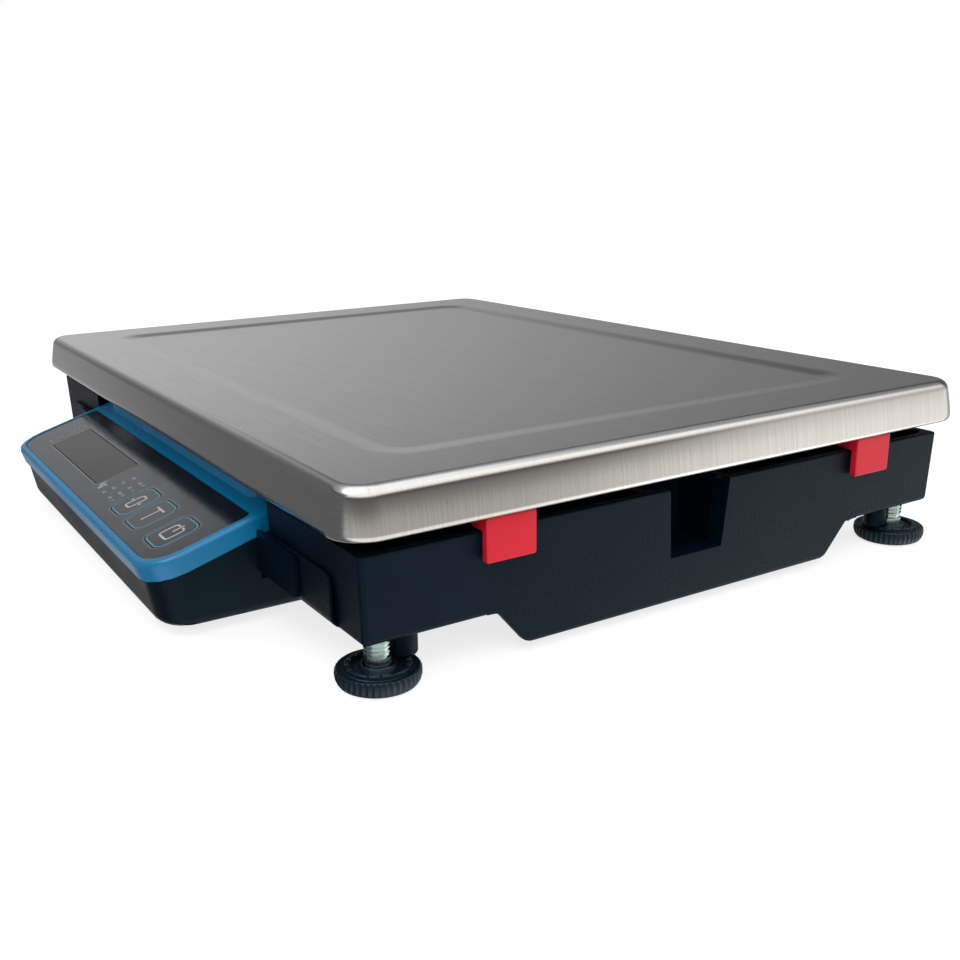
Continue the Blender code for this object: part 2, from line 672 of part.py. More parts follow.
def base_casting():
    base = piece("base_casting", base_shell(), "casting")
    for side in (-1, 1):
        add(base, keel(side), f"keel_{side}")
    cut(base, tray_cavity(), "cavity")

    rib_top = FLOOR_TOP + RIB_HEIGHT
    for side in (-1, 1):
        across = block(
            (side * RIB_X - RIB_THICK / 2, -HALF_Y + BASE_WALL, FLOOR_TOP - 1 * MM),
            (side * RIB_X + RIB_THICK / 2, HALF_Y - BASE_WALL, rib_top),
        )
        add(base, across, f"rib_across_{side}")
        reach = HALF_X - BASE_WALL
        along = block(
            (-reach, side * RIB_Y - RIB_THICK / 2, FLOOR_TOP - 1 * MM),
            (reach, side * RIB_Y + RIB_THICK / 2, rib_top - 0.5 * MM),
        )
        add(base, along, f"rib_along_{side}")

    for side in (-1, 1):
        hand_notch(base, side)

    boss_low = CELL_LENGTH / 2 - CELL_END
    mount = block(
        (-CELL_LENGTH / 2 - 4 * MM, -CELL_WIDTH / 2 - 3 * MM, BASE_BOTTOM + 1 * MM),
        (-boss_low, CELL_WIDTH / 2 + 3 * MM, FLOOR_TOP + CELL_BOSS_HEIGHT),
    )
    add(base, mount, "cell_boss")
    for offset in CELL_SCREW_OFFSETS:
        at = (-CELL_LENGTH / 2 + offset, 0, 0)
        hole = cylinder(CELL_SCREW[0] + RUN, 0, CELL_TOP)
        cut(base, hole, f"cell_hole_{offset:.3f}", location=at)
        sink = cylinder(CELL_SCREW[1] + RUN, 0, BASE_BOTTOM + CELL_SCREW[2] + 2 * RUN)
        cut(base, sink, f"cell_sink_{offset:.3f}", location=at)

    for name, x, y in corner_signs():
        foot = (x * FOOT_X, y * FOOT_Y, 0)
        boss = cylinder(FOOT_BOSS_RADIUS, BASE_BOTTOM + 1 * MM, BASE_BOTTOM + FOOT_BOSS_HEIGHT, 24)
        add(base, boss, f"foot_boss_{name}", location=foot)
        post_y = y * (FOOT_Y - STUD_RADIUS - RUN - GAP - POST_RADIUS)
        post_low = DISC_TOP + POST_CLEARANCE
        post = loft(
            [
                circle(POST_RADIUS - 1.2 * MM, post_low, 20),
                circle(POST_RADIUS - 0.35 * MM, post_low + 0.35 * MM, 20),
                circle(POST_RADIUS, post_low + 1.2 * MM, 20),
                circle(POST_RADIUS, BASE_BOTTOM + 1 * MM, 20),
            ]
        )
        add(base, post, f"foot_post_{name}", location=(x * FOOT_X, post_y, 0))
        cut(base, cylinder(STUD_RADIUS + RUN, 0, RIM, 24), f"foot_hole_{name}", location=foot)
        stop = (x * SPIDER_PAD_X, y * SPIDER_PAD_Y, 0)
        tower_top = FLOOR_TOP + STOP_TOWER_HEIGHT
        tower = cylinder(STOP_TOWER_RADIUS + 1 * MM, BASE_BOTTOM + 1 * MM, tower_top, 20, STOP_TOWER_RADIUS)
        add(base, tower, f"stop_tower_{name}", location=stop)
        hole = cylinder(STOP_SCREW[0] + GAP, FLOOR_TOP + 1 * MM, tower_top + 5 * MM)
        cut(base, hole, f"stop_hole_{name}", location=stop)

    neck = DISPLAY_WIDTH / 2 + NECK_SIDE
    opening = rounded_rect(-neck, neck_sill(), neck, RIM + 20 * MM, 1.5 * MM)
    cut(base, front_plate(opening, FRONT - 5 * MM, FRONT + BASE_WALL + 4 * MM), "neck_opening")
    leg_recess(base)
    boss_top = FLOOR_TOP + BRACKET_BOSS_HEIGHT
    for name, at in bracket_screw_places():
        boss = cylinder(BRACKET_BOSS_RADIUS, LEG_TOP + 2 * GAP, boss_top, 20)
        add(base, boss, f"bracket_boss_{name}", location=at)
        hole = cylinder(BRACKET_SCREW[0] + GAP, 0, boss_top + 1 * MM, 12)
        cut(base, hole, f"bracket_hole_{name}", location=at)
    inlet = cylinder(INLET_RADIUS + RUN, -30 * MM, 30 * MM, 20)
    inlet.transform(Matrix.Rotation(math.pi / 2, 4, "X"))
    cut(base, inlet, "inlet_hole", location=(INLET_X, HALF_Y, inlet_height()))


def circle(radius, height, steps):
    turn = 2 * math.pi / steps
    return [(radius * math.cos(turn * i), radius * math.sin(turn * i), height) for i in range(steps)]


def hand_notch(base, side):
    """The notch through the side wall and the closed pocket behind it."""
    pocket_low = FLOOR_TOP - POCKET_STEP
    reach = sorted((side * (HALF_X - POCKET_DEPTH - POCKET_SKIN), side * (HALF_X - BASE_DRAFT - 2 * MM)))
    half = POCKET_WIDTH / 2 + POCKET_SKIN
    walls = block(
        (reach[0], NOTCH_CENTRE_Y - half, pocket_low - POCKET_FLOOR),
        (reach[1], NOTCH_CENTRE_Y + half, RIM - POCKET_TOP_DROP),
    )
    add(base, walls, f"pocket_walls_{side}")
    flank = NOTCH_WIDTH / 2
    over = 10 * MM
    spread = NOTCH_SPREAD * (RIM + over - FLOOR_TOP) / (RIM - FLOOR_TOP)
    outline = [
        (NOTCH_CENTRE_Y - flank, FLOOR_TOP),
        (NOTCH_CENTRE_Y + flank, FLOOR_TOP),
        (NOTCH_CENTRE_Y + flank + spread, RIM + over),
        (NOTCH_CENTRE_Y - flank - spread, RIM + over),
    ]
    ends = sorted((side * (HALF_X - NOTCH_LIP - 2 * MM), side * (HALF_X + 5 * MM)))
    cut(base, side_plate(outline, *ends), f"notch_{side}")
    ends = sorted((side * (HALF_X - POCKET_DEPTH), side * (HALF_X - NOTCH_LIP)))
    half = POCKET_WIDTH / 2
    pocket = rounded_rect(ends[0], NOTCH_CENTRE_Y - half, ends[1], NOTCH_CENTRE_Y + half, 3 * MM)
    cut(base, level_plate(pocket, pocket_low, RIM + over), f"pocket_{side}")


def leg_recess(base):
    """The shallow step in the tray's underside that takes the bracket's leg and bend."""
    top = LEG_TOP + GAP
    profile = fillet_path(
        [
            (FRONT - 5 * MM, BASE_BOTTOM - 5 * MM, 0),
            (FRONT + BRACKET_LEG + GAP, BASE_BOTTOM - 5 * MM, 0),
            (FRONT + BRACKET_LEG + GAP, top, 0),
            (FRONT, top, BRACKET_BEND - GAP),
            (FRONT, top + BRACKET_BEND, 0),
            (FRONT - 5 * MM, top + BRACKET_BEND, 0),
        ],
        5,
    )
    half = BRACKET_WIDTH / 2 + 2 * GAP
    cut(base, side_plate(profile, -half, half), "leg_recess")


def neck_sill():
    """Height of the opening's lower edge in the front wall."""
    under_bezel = RIM - DISPLAY_DROP - BEZEL_DEPTH * math.cos(DISPLAY_TILT)
    return under_bezel - NECK_SILL


def inlet_height():
    return BASE_BOTTOM + BASE_HEIGHT / 2


def bracket_screw_places():
    """The screws beside the display: name, and place on the ground."""
    for word, side in (("right", 1), ("left", -1)):
        for index, share in enumerate(BRACKET_SCREW_SHARES):
            x = DISPLAY_WIDTH / 2 + share * BRACKET_STRIP
            yield f"{word}_{index + 1}", (side * x, FRONT + BRACKET_LEG / 2, 0)


def clip(name, side, y):
    """A clip over the rim: a tongue between the rim and the hem, and a flap down the wall."""
    face = HALF_X + GAP
    low, high = RIM + GAP, HEM - GAP
    outline = [
        (face - GAP - CLIP_TONGUE, low),
        (face, low),
        (face, RIM - CLIP_DROP),
        (face + CLIP_THICK, RIM - CLIP_DROP),
        (face + CLIP_THICK, high),
        (face - GAP - CLIP_TONGUE, high),
    ]
    outline = [(side * x, z) for x, z in outline]
    mesh = front_plate(outline, -CLIP_LENGTH / 2, CLIP_LENGTH / 2)
    made = piece(name, mesh, "red", location=(0, y, 0))
    soften(made, CLIP_ROUND, 2, 0.5)


def clips():
    for side, word in ((1, "right"), (-1, "left")):
        clip(f"transport_clip_front_{word}", side, CLIP_FRONT_Y)
        clip(f"transport_clip_rear_{word}", side, CLIP_REAR_Y)


def foot_disc(name, location):
    """The knurled disc: fluted side, stepped top with a raised ring, and a socket for the stud."""
    steps = 2 * DISC_FLUTES
    ring_inner = DISC_RING_RADIUS - DISC_RING_WIDTH
    socket = STUD_RADIUS + GAP
    levels = [
        (DISC_RADIUS - 3.2 * MM, 0, 0),
        (DISC_RADIUS - 1.2 * MM, 0.5 * MM, 0),
        (DISC_RADIUS - 0.3 * MM, 1.9 * MM, 0.6),
        (DISC_RADIUS, 3.0 * MM, 1),
        (DISC_RADIUS, DISC_HEIGHT - 0.5 * MM, 1),
        (DISC_RADIUS - 0.7 * MM, DISC_HEIGHT, 0),
        (DISC_RING_RADIUS, DISC_HEIGHT - 0.4 * MM, 0),
        (DISC_RING_RADIUS - 0.2 * MM, DISC_TOP, 0),
        (ring_inner, DISC_TOP, 0),
        (ring_inner - 0.6 * MM, DISC_HEIGHT - DISC_DISH + 0.6 * MM, 0),
        (socket, DISC_HEIGHT - DISC_DISH, 0),
        (socket, DISC_SOLE, 0),
    ]
    rings = []
    for radius, height, fluted in levels:
        ring = circle(1.0, height, steps)
        for index, (x, y, z) in enumerate(ring):
            reach = radius - fluted * FLUTE_DEPTH * (index % 2)
            ring[index] = (x * reach, y * reach, z)
        rings.append(ring)
    piece(name, loft(rings), "black", location=location, smooth=0.5)


def feet():
    for name, x, y in corner_signs():
        at = (x * FOOT_X, y * FOOT_Y, 0)
        foot_disc(f"foot_disc_{name}", at)
        low, high = DISC_SOLE + GAP, DISC_SOLE + GAP + STUD_LENGTH
        chamfer = 1 * MM
        profile = [
            (0, high),
            (STUD_RADIUS - chamfer, high),
            (STUD_RADIUS, high - chamfer),
            (STUD_RADIUS, low + chamfer / 2),
            (STUD_RADIUS - chamfer / 2, low),
            (0, low),
        ]
        turned(f"foot_stud_{name}", profile, "zinc", 24, location=at)


def load_cell():
    """A single-point beam with the double bore that lets its middle bend."""
    half = CELL_LENGTH / 2
    mesh = block((-half, -CELL_WIDTH / 2, CELL_BOTTOM), (half, CELL_WIDTH / 2, CELL_TOP))
    cell = piece("load_cell", mesh, "aluminium")
    middle = (CELL_BOTTOM + CELL_TOP) / 2
    for side in (-1, 1):
        bore = cylinder(CELL_BORE_RADIUS, -CELL_WIDTH, CELL_WIDTH, 24)
        bore.transform(Matrix.Rotation(math.pi / 2, 4, "X"))
        cut(cell, bore, f"bore_{side}", location=(side * CELL_BORE_PITCH / 2, 0, middle))
    slot = block(
        (-CELL_BORE_PITCH / 2, -CELL_WIDTH, middle - CELL_SLOT / 2),
        (CELL_BORE_PITCH / 2, CELL_WIDTH, middle + CELL_SLOT / 2),
    )
    cut(cell, slot, "slot")
    hole = CELL_SCREW[0] + RUN
    depth = CELL_HEIGHT / 2
    for index, offset in enumerate(CELL_SCREW_OFFSETS):
        low = cylinder(hole, CELL_BOTTOM - 5 * MM, CELL_BOTTOM + depth)
        cut(cell, low, f"base_hole_{index}", location=(-half + offset, 0, 0))
        high = cylinder(hole, CELL_TOP - depth, CELL_TOP + 5 * MM)
        cut(cell, high, f"spider_hole_{index}", location=(half - offset, 0, 0))
        base_screw = (-half + offset, 0, 0)
        head = BASE_BOTTOM + RUN
        end = CELL_BOTTOM + depth - RUN
        fastener(f"cell_base_screw_{index + 1}", CELL_SCREW, head, end, "zinc", base_screw)
        spider_screw = (half - offset, 0, 0)
        head = SPIDER_TOP + GAP
        end = CELL_TOP - depth + RUN
        fastener(f"cell_spider_screw_{index + 1}", CELL_SCREW, head, end, "zinc", spider_screw)


def spacer():
    half = CELL_LENGTH / 2
    mesh = block(
        (half - CELL_END, -CELL_WIDTH / 2, SPACER_BOTTOM),
        (half, CELL_WIDTH / 2, SPACER_BOTTOM + SPACER_THICK),
    )
    made = piece("cell_spacer", mesh, "zinc")
    for index, offset in enumerate(CELL_SCREW_OFFSETS):
        hole = cylinder(CELL_SCREW[0] + RUN, CELL_TOP - 5 * MM, SPIDER_TOP + 5 * MM)
        cut(made, hole, f"hole_{index}", location=(half - offset, 0, 0))


def spider():
    """A flat centre with four tapered, ribbed arms that end in round pads: one arm, mirrored twice."""
    pad = Vector((SPIDER_PAD_X, SPIDER_PAD_Y))
    root = Vector(SPIDER_ARM_START)
    along = (pad - root).normalized()
    across = Vector((-along.y, along.x))

    def arm(start, root_width, tip_width, low, high):
        corners = [
            start - across * root_width / 2,
            pad - across * tip_width / 2,
            pad + across * tip_width / 2,
            start + across * root_width / 2,
        ]
        return level_plate([tuple(corner) for corner in corners], low, high)

    flat = arm(root, SPIDER_ARM_ROOT, SPIDER_ARM_TIP, SPIDER_BOTTOM + 0.1 * MM, SPIDER_TOP - 0.1 * MM)
    arms = helper("spider_arms", flat)
    rib_high = SPIDER_TOP + SPIDER_RIB_HEIGHT
    rib = arm(root + along * SPIDER_RIB, SPIDER_RIB, SPIDER_RIB, SPIDER_BOTTOM + 1 * MM, rib_high)
    add(arms, rib, "rib")
    add(arms, cylinder(SPIDER_PAD_RADIUS, SPIDER_BOTTOM, PAD_TOP, PAD_STEPS), "pad", location=(*pad, 0))
    clear = cylinder(SPIDER_PAD_RADIUS - 2 * MM, PAD_SEAT, rib_high + 2 * MM, PAD_STEPS)
    cut(arms, clear, "pad_clearance", location=(*pad, 0))
    stem = cylinder(BUFFER_STEM + GAP, SPIDER_BOTTOM + 1.5 * MM, rib_high, 12)
    cut(arms, stem, "stem_hole", location=(*pad, 0))
    mirror = arms.modifiers.new("quarters", "MIRROR")
    mirror.use_axis = (True, True, False)

    half_length, half_width = SPIDER_PLATE_LENGTH / 2, SPIDER_PLATE_WIDTH / 2
    centre = rounded_rect(-half_length, -half_width, half_length, half_width, 10 * MM)
    made = piece("platter_spider", level_plate(centre, SPIDER_BOTTOM, SPIDER_TOP), "aluminium")
    boolean(made, arms, "UNION")
    for index, offset in enumerate(CELL_SCREW_OFFSETS):
        hole = cylinder(CELL_SCREW[0] + RUN, SPIDER_BOTTOM - 5 * MM, SPIDER_TOP + 5 * MM)
        at = (CELL_LENGTH / 2 - offset, 0, 0)
        cut(made, hole, f"screw_hole_{index}", location=at)


def buffers():
    """Rubber buffers, plugged into the spider's pads, that carry the platter."""
    top = PLATTER_UNDERSIDE - GAP
    for name, x, y in corner_signs():
        profile = [
            (0, top),
            (BUFFER_RADIUS - 2 * MM, top),
            (BUFFER_RADIUS - 1 * MM, top - 1 * MM),
            (BUFFER_RADIUS, PAD_SEAT + GAP + 1 * MM),
            (BUFFER_RADIUS, PAD_SEAT + GAP),
            (BUFFER_STEM, PAD_SEAT + GAP),
            (BUFFER_STEM, SPIDER_BOTTOM + 1.5 * MM + GAP),
            (0, SPIDER_BOTTOM + 1.5 * MM + GAP),
        ]
        at = (x * SPIDER_PAD_X, y * SPIDER_PAD_Y, 0)
        turned(f"platter_buffer_{name}", profile, "rubber", 24, location=at)


def stops():
    """Overload stop screws with their lock nuts, standing on the towers under the spider's pads."""
    tower_top = FLOOR_TOP + STOP_TOWER_HEIGHT
    shank, head, height = STOP_SCREW
    for name, x, y in corner_signs():
        at = (x * SPIDER_PAD_X, y * SPIDER_PAD_Y, 0)
        head_low = SPIDER_BOTTOM - STOP_GAP - height
        made = fastener(
            f"overload_stop_{name}", STOP_SCREW, head_low, FLOOR_TOP + 1 * MM + GAP, "zinc", at, head_steps=6
        )
        nut = cylinder(head - 0.4 * MM, tower_top + GAP, tower_top + GAP + height, 6)
        add(made, nut, "nut", location=at)


def slope_outline(inset=0.0, front=DISPLAY_CORNER, rear=2 * MM):
    """The bezel's outline on the sloping panel, as seen square to it."""
    half = DISPLAY_WIDTH / 2 - inset
    return rounded_rect(
        -half, -DISPLAY_REACH + inset, half, DISPLAY_TAIL - inset, max(front - inset, 1 * MM), rear
    )


def on_slope(along, above=0.0):
    """Y and Z of a point on the panel: along the slope from the wall's face, and above the panel."""
    cos, sin = math.cos(DISPLAY_TILT), math.sin(DISPLAY_TILT)
    return FRONT + along * cos - above * sin, RIM - DISPLAY_DROP + along * sin + above * cos


def bezel():
    """The blue upper shell: rounded rim, sunk panel with its openings, and the riser at the back."""
    def ring(inset, height):
        return [(x, y, height) for x, y in slope_outline(inset)]

    levels = [
        (BEZEL_WALL + 0.8 * MM, PANEL_UNDER),
        (BEZEL_WALL, PANEL_UNDER - 0.8 * MM),
        (BEZEL_WALL, -BEZEL_DEPTH),
        (0.4 * MM, -BEZEL_DEPTH),
        (0, -BEZEL_DEPTH + 0.4 * MM),
    ]
    for step in range(4):
        angle = math.pi / 2 * step / 3
        round_off = BEZEL_ROUND * (1 - math.cos(angle)), BEZEL_ROUND * (math.sin(angle) - 1)
        levels.append(round_off)
    made = piece("display_bezel", loft([ring(*level) for level in levels]), "blue", PANEL)

    half = RISER_WIDTH / 2
    front, rear = FRONT + RISER_SETBACK, FRONT + RISER_SETBACK + RISER_DEPTH
    low = on_slope(0, PANEL_UNDER)[1] + 0.5 * MM
    top = HEM + RISER_TOP

    def riser_ring(inset, height):
        low, high = (-half + inset, front + inset), (half - inset, rear - inset)
        return [(x, y, height) for x, y in rounded_rect(*low, *high, RISER_CORNER - inset / 2)]

    riser = loft([riser_ring(0, low), riser_ring(0, top - 1 * MM), riser_ring(1 * MM, top)])
    add(made, riser, "riser")
    room = rounded_rect(-half + BEZEL_WALL, front + BEZEL_WALL, half - BEZEL_WALL, rear - BEZEL_WALL, 2 * MM)
    cut(made, level_plate(room, low - 10 * MM, top - BEZEL_WALL), "riser_room")

    for name, x, y in board_posts():
        post = cylinder(BOARD_POST_RADIUS, BOARD_TOP + GAP, PANEL_UNDER + 1 * MM)
        add(made, post, f"board_post_{name}", PANEL, (x, y, 0))
    for index, (x, along) in enumerate(tower_places()):
        boss = cylinder(TOWER_RADIUS, -BEZEL_DEPTH, PANEL_UNDER + 1 * MM, 20)
        add(made, boss, f"screw_boss_{index}", PANEL, (x, along, 0))
        y, z = on_slope(along, -BEZEL_DEPTH)
        hole = cylinder(HOUSING_SCREW[0] + GAP, z - 10 * MM, z + TOWER_SCREW_GRIP + GAP, 12)
        cut(made, hole, f"screw_hole_{index}", location=(x, y, 0))

    recess = level_plate(label_outline(-GAP), -LABEL_SUNK - LABEL_THICK - GAP, 5 * MM)
    cut(made, recess, "label_recess", PANEL)
    cut(made, level_plate(lcd_outline(1.5 * MM), PANEL_UNDER - 2 * MM, 2 * MM), "lcd_opening", PANEL)
    for name, x in KEY_CENTRES.items():
        cut(made, level_plate(key_outline(x, RUN), PANEL_UNDER - 2 * MM, 2 * MM), f"{name}_opening", PANEL)


def label_outline(inset=0.0):
    half = DISPLAY_WIDTH / 2 - LABEL_BORDER - inset
    front = -DISPLAY_REACH + LABEL_BORDER + inset
    return rounded_rect(-half, front, half, -LABEL_REAR - inset, LABEL_CORNER - inset, 3 * MM)


def lcd_outline(outset=0.0):
    half = LCD_LENGTH / 2 + outset
    front, rear = -LCD_REAR - LCD_DEPTH - outset, -LCD_REAR + outset
    return rounded_rect(LCD_CENTRE_X - half, front, LCD_CENTRE_X + half, rear, LCD_CORNER, steps=2)


def key_outline(x, outset=0.0):
    half = KEY_WIDTH / 2 + outset
    front, rear = -KEY_REAR - KEY_LENGTH - outset, -KEY_REAR + outset
    return rounded_rect(x - half, front, x + half, rear, KEY_CORNER + outset)


def board_posts():
    """Posts that hold the board's corners, on the panel."""
    inset = 4 * MM
    between_keys = (KEY_CENTRES["key_tare"] + KEY_CENTRES["key_power"]) / 2
    for name, x, y in corner_signs():
        along = -BOARD_REAR - inset if y > 0 else -BOARD_REAR - BOARD_DEPTH + inset
        yield name, between_keys if x > 0 else -BOARD_LENGTH / 2 + inset, along


def tower_places():
    """Screw towers of the display: X, and the place along the slope."""
    for x in (-TOWER_X, TOWER_X):
        for along in TOWER_SLOPE_POSITIONS:
            yield x, -along


def label():
    """The foil over the panel, open for the window and the keys."""
    low, high = -LABEL_SUNK - LABEL_THICK, -LABEL_SUNK
    made = piece("keypad_label", level_plate(label_outline(), low, high), "label", PANEL)
    cut(made, level_plate(lcd_outline(), low - 2 * MM, high + 2 * MM), "window_opening", PANEL)
    for name, x in KEY_CENTRES.items():
        cut(made, level_plate(key_outline(x, RUN), low - 2 * MM, high + 2 * MM), f"{name}_opening", PANEL)
    piece("display_window", level_plate(lcd_outline(-GAP), low, high), "window", PANEL)


def keys():
    """Keys that travel through the panel, held up under it by a flange."""
    bottom = BOARD_TOP + KEY_TRAVEL_ROOM
    for name, x in KEY_CENTRES.items():
        mesh = level_plate(key_outline(x), bottom, -LABEL_SUNK)
        made = piece(name, mesh, "label", PANEL)
        flange_top = PANEL_UNDER - GAP
        flange = level_plate(key_outline(x, KEY_FLANGE), flange_top - KEY_FLANGE_THICK, flange_top)
        add(made, flange, "flange", PANEL)


def display_inside():
    """The display module and the board under it."""
    module = level_plate(lcd_outline(LCD_MODULE_BORDER), MODULE_TOP - LCD_MODULE_THICK, MODULE_TOP)
    piece("lcd_module", module, "zinc", PANEL)
    half = BOARD_LENGTH / 2
    outline = rounded_rect(-half, -BOARD_REAR - BOARD_DEPTH, half, -BOARD_REAR, 2 * MM, steps=2)
    board = piece("display_board", level_plate(outline, BOARD_TOP - BOARD_THICK, BOARD_TOP), "board", PANEL)
    for name, x in (("cell", CELL_PLUG_X), ("power", POWER_PLUG_X)):
        length, depth, height = PLUG_SIZE
        socket = block(
            (x - length / 2, -BOARD_REAR - depth, BOARD_TOP - 0.5 * MM),
            (x + length / 2, -BOARD_REAR - 0.5 * MM, BOARD_TOP + height),
        )
        add(board, socket, f"{name}_socket", PANEL)


def housing():
    """The lower shell of the display: a leaning bowl with ears on the wall and a tail under the tray."""
    half = DISPLAY_WIDTH / 2 - HOUSING_INSET
    low = HOUSING_CLEARANCE
    seam_y, seam_z = on_slope(-DISPLAY_REACH, -BEZEL_DEPTH)
    front_top = seam_y + HOUSING_INSET
    rear = FRONT + HOUSING_TAIL
    top = RIM

    def ring(height, inset):
        side = half - (seam_z - height) * HOUSING_SIDE_LEAN - inset
        front = front_top + (seam_z - height) * HOUSING_LEAN + inset
        corner = HOUSING_FRONT_CORNER - inset
        outline = rounded_rect(-side, front, side, rear - inset, corner, 1.5 * MM, 5)
        return [(x, y, height) for x, y in outline]

    rings = []
    for step in range(4):
        angle = math.pi / 2 * step / 3
        rise = HOUSING_BOTTOM_ROUND * (1 - math.cos(angle))
        rings.append(ring(low + rise, HOUSING_BOTTOM_ROUND * (1 - math.sin(angle))))
    rings.append(ring(top, 0))
    made = piece("display_housing", loft(rings), "black")

    floor = low + HOUSING_WALL
    wall_y = FRONT - 2 * GAP - BRACKET_SHEET
    tail_top = BASE_BOTTOM - GAP

    def room_ring(height, inset):
        side = half - (seam_z - height) * HOUSING_SIDE_LEAN - inset
        front = front_top + (seam_z - height) * HOUSING_LEAN + inset
        corner = HOUSING_FRONT_CORNER - inset
        outline = rounded_rect(-side, front, side, wall_y - HOUSING_WALL, corner, 2 * MM, 5)
        return [(x, y, height) for x, y in outline]

    room = loft([room_ring(floor, HOUSING_WALL), room_ring(top + 5 * MM, HOUSING_WALL)])
    cut(made, room, "room")
    tail_half = half - 3 * HOUSING_WALL
    tail_room = block(
        (-tail_half, wall_y - 3 * HOUSING_WALL, floor + 0.2 * MM),
        (tail_half, rear - HOUSING_WALL, tail_top - HOUSING_WALL),
    )
    cut(made, tail_room, "tail_room")
    for index, (x, along) in enumerate(tower_places()):
        y = on_slope(along, -BEZEL_DEPTH)[0]
        add(made, cylinder(TOWER_RADIUS, low + 1 * MM, top, 20), f"tower_{index}", location=(x, y, 0))

    ear = DISPLAY_WIDTH / 2 + EAR_WIDTH
    ear_top = RIM - EAR_DROP
    ears = rounded_rect(-ear, ear_top - EAR_HEIGHT, ear, ear_top, 1 * MM, 2 * MM)
    add(made, front_plate(ears, wall_y - EAR_THICK, wall_y), "ears")
    reach = DISPLAY_WIDTH / 2 + GAP
    above = block((-reach, -100 * MM, -BEZEL_DEPTH - GAP), (reach, 60 * MM, 60 * MM))
    cut(made, above, "bezel_seam", PANEL)
    under = block((-200 * MM, wall_y, tail_top), (200 * MM, FRONT + 80 * MM, RIM + 20 * MM))
    cut(made, under, "tray_room")
    for index, (x, along) in enumerate(tower_places()):
        y, z = on_slope(along, -BEZEL_DEPTH)
        seat = z + TOWER_SCREW_GRIP - TOWER_SCREW_LENGTH
        shank, head, height = HOUSING_SCREW
        sink = cylinder(head + RUN, 0, seat, 16)
        cut(made, sink, f"screw_sink_{index}", location=(x, y, 0))
        cut(made, cylinder(shank + GAP, 0, RIM, 12), f"screw_hole_{index}", location=(x, y, 0))
        at, head_low, end = (x, y, 0), seat - GAP - height, z + TOWER_SCREW_GRIP
        fastener(f"housing_screw_{index + 1}", HOUSING_SCREW, head_low, end, "zinc", at)


def bracket():
    """A bent sheet on the front wall that wraps under the tray and carries the display."""
    face = FRONT - GAP
    under = LEG_TOP
    sheet = BRACKET_SHEET
    top = RIM - EAR_DROP
    bend_in, bend_out = BRACKET_BEND, BRACKET_BEND + sheet
    section = fillet_path(
        [
            (face - sheet, top, 0),
            (face - sheet, under - sheet, bend_out),
            (FRONT + BRACKET_LEG, under - sheet, 0),
            (FRONT + BRACKET_LEG, under, 0),
            (face, under, bend_in),
            (face, top, 0),
        ],
        5,
    )
    half = BRACKET_WIDTH / 2
    made = piece("display_bracket", side_plate(section, -half, half), "casting")
    shoulder = rounded_rect(-half - 1 * MM, -BASE_BOTTOM, half + 1 * MM, top + 30 * MM, 1 * MM)
    window = fillet_path(
        [
            (-half, -BASE_BOTTOM - 5 * MM, 0),
            (half, -BASE_BOTTOM - 5 * MM, 0),
            (half, top, BRACKET_CORNER),
            (-half, top, BRACKET_CORNER),
        ]
    )
    trim = helper("bracket_trim", front_plate(shoulder, face - 20 * MM, face + 0.5 * MM))
    kept = helper("bracket_outline", front_plate(window, face - 30 * MM, face + 10 * MM))
    boolean(trim, kept, "DIFFERENCE")
    boolean(made, trim, "DIFFERENCE")
    neck = DISPLAY_WIDTH / 2 + NECK_SIDE
    opening = rounded_rect(-neck, neck_sill(), neck, RIM, 2 * MM)
    cut(made, front_plate(opening, face - 10 * MM, face + 2 * MM), "neck_opening")
    head_low = BASE_BOTTOM - GAP - BRACKET_SCREW[2]
    end = FLOOR_TOP + BRACKET_BOSS_HEIGHT - GAP
    for name, at in bracket_screw_places():
        hole = cylinder(BRACKET_SCREW[0] + GAP, 0, LEG_TOP + 5 * MM, 12)
        cut(made, hole, f"hole_{name}", location=at)
        fastener(f"bracket_screw_{name}", BRACKET_SCREW, head_low, end, "zinc", at)


def power_inlet():
    """A round socket in the rear wall: a flange outside, a barrel through the wall, a centre pin."""
    face = GAP
    profile = [
        (0.9 * MM, face + 1.0 * MM),
        (0.9 * MM, -7 * MM),
        (3.0 * MM, -7 * MM),
        (3.0 * MM, face + 1.6 * MM),
        (INLET_FLANGE - 0.5 * MM, face + 1.6 * MM),
        (INLET_FLANGE, face + 1.1 * MM),
        (INLET_FLANGE, face),
        (INLET_RADIUS, face),
        (INLET_RADIUS, face - INLET_LENGTH),
        (0, face - INLET_LENGTH),
    ]
    profile = [(0, face + 1.0 * MM), *profile]
    made = turned("power_inlet", profile, "black", 24, location=(INLET_X, HALF_Y, inlet_height()))
    made.rotation_euler = (-math.pi / 2, 0, 0)


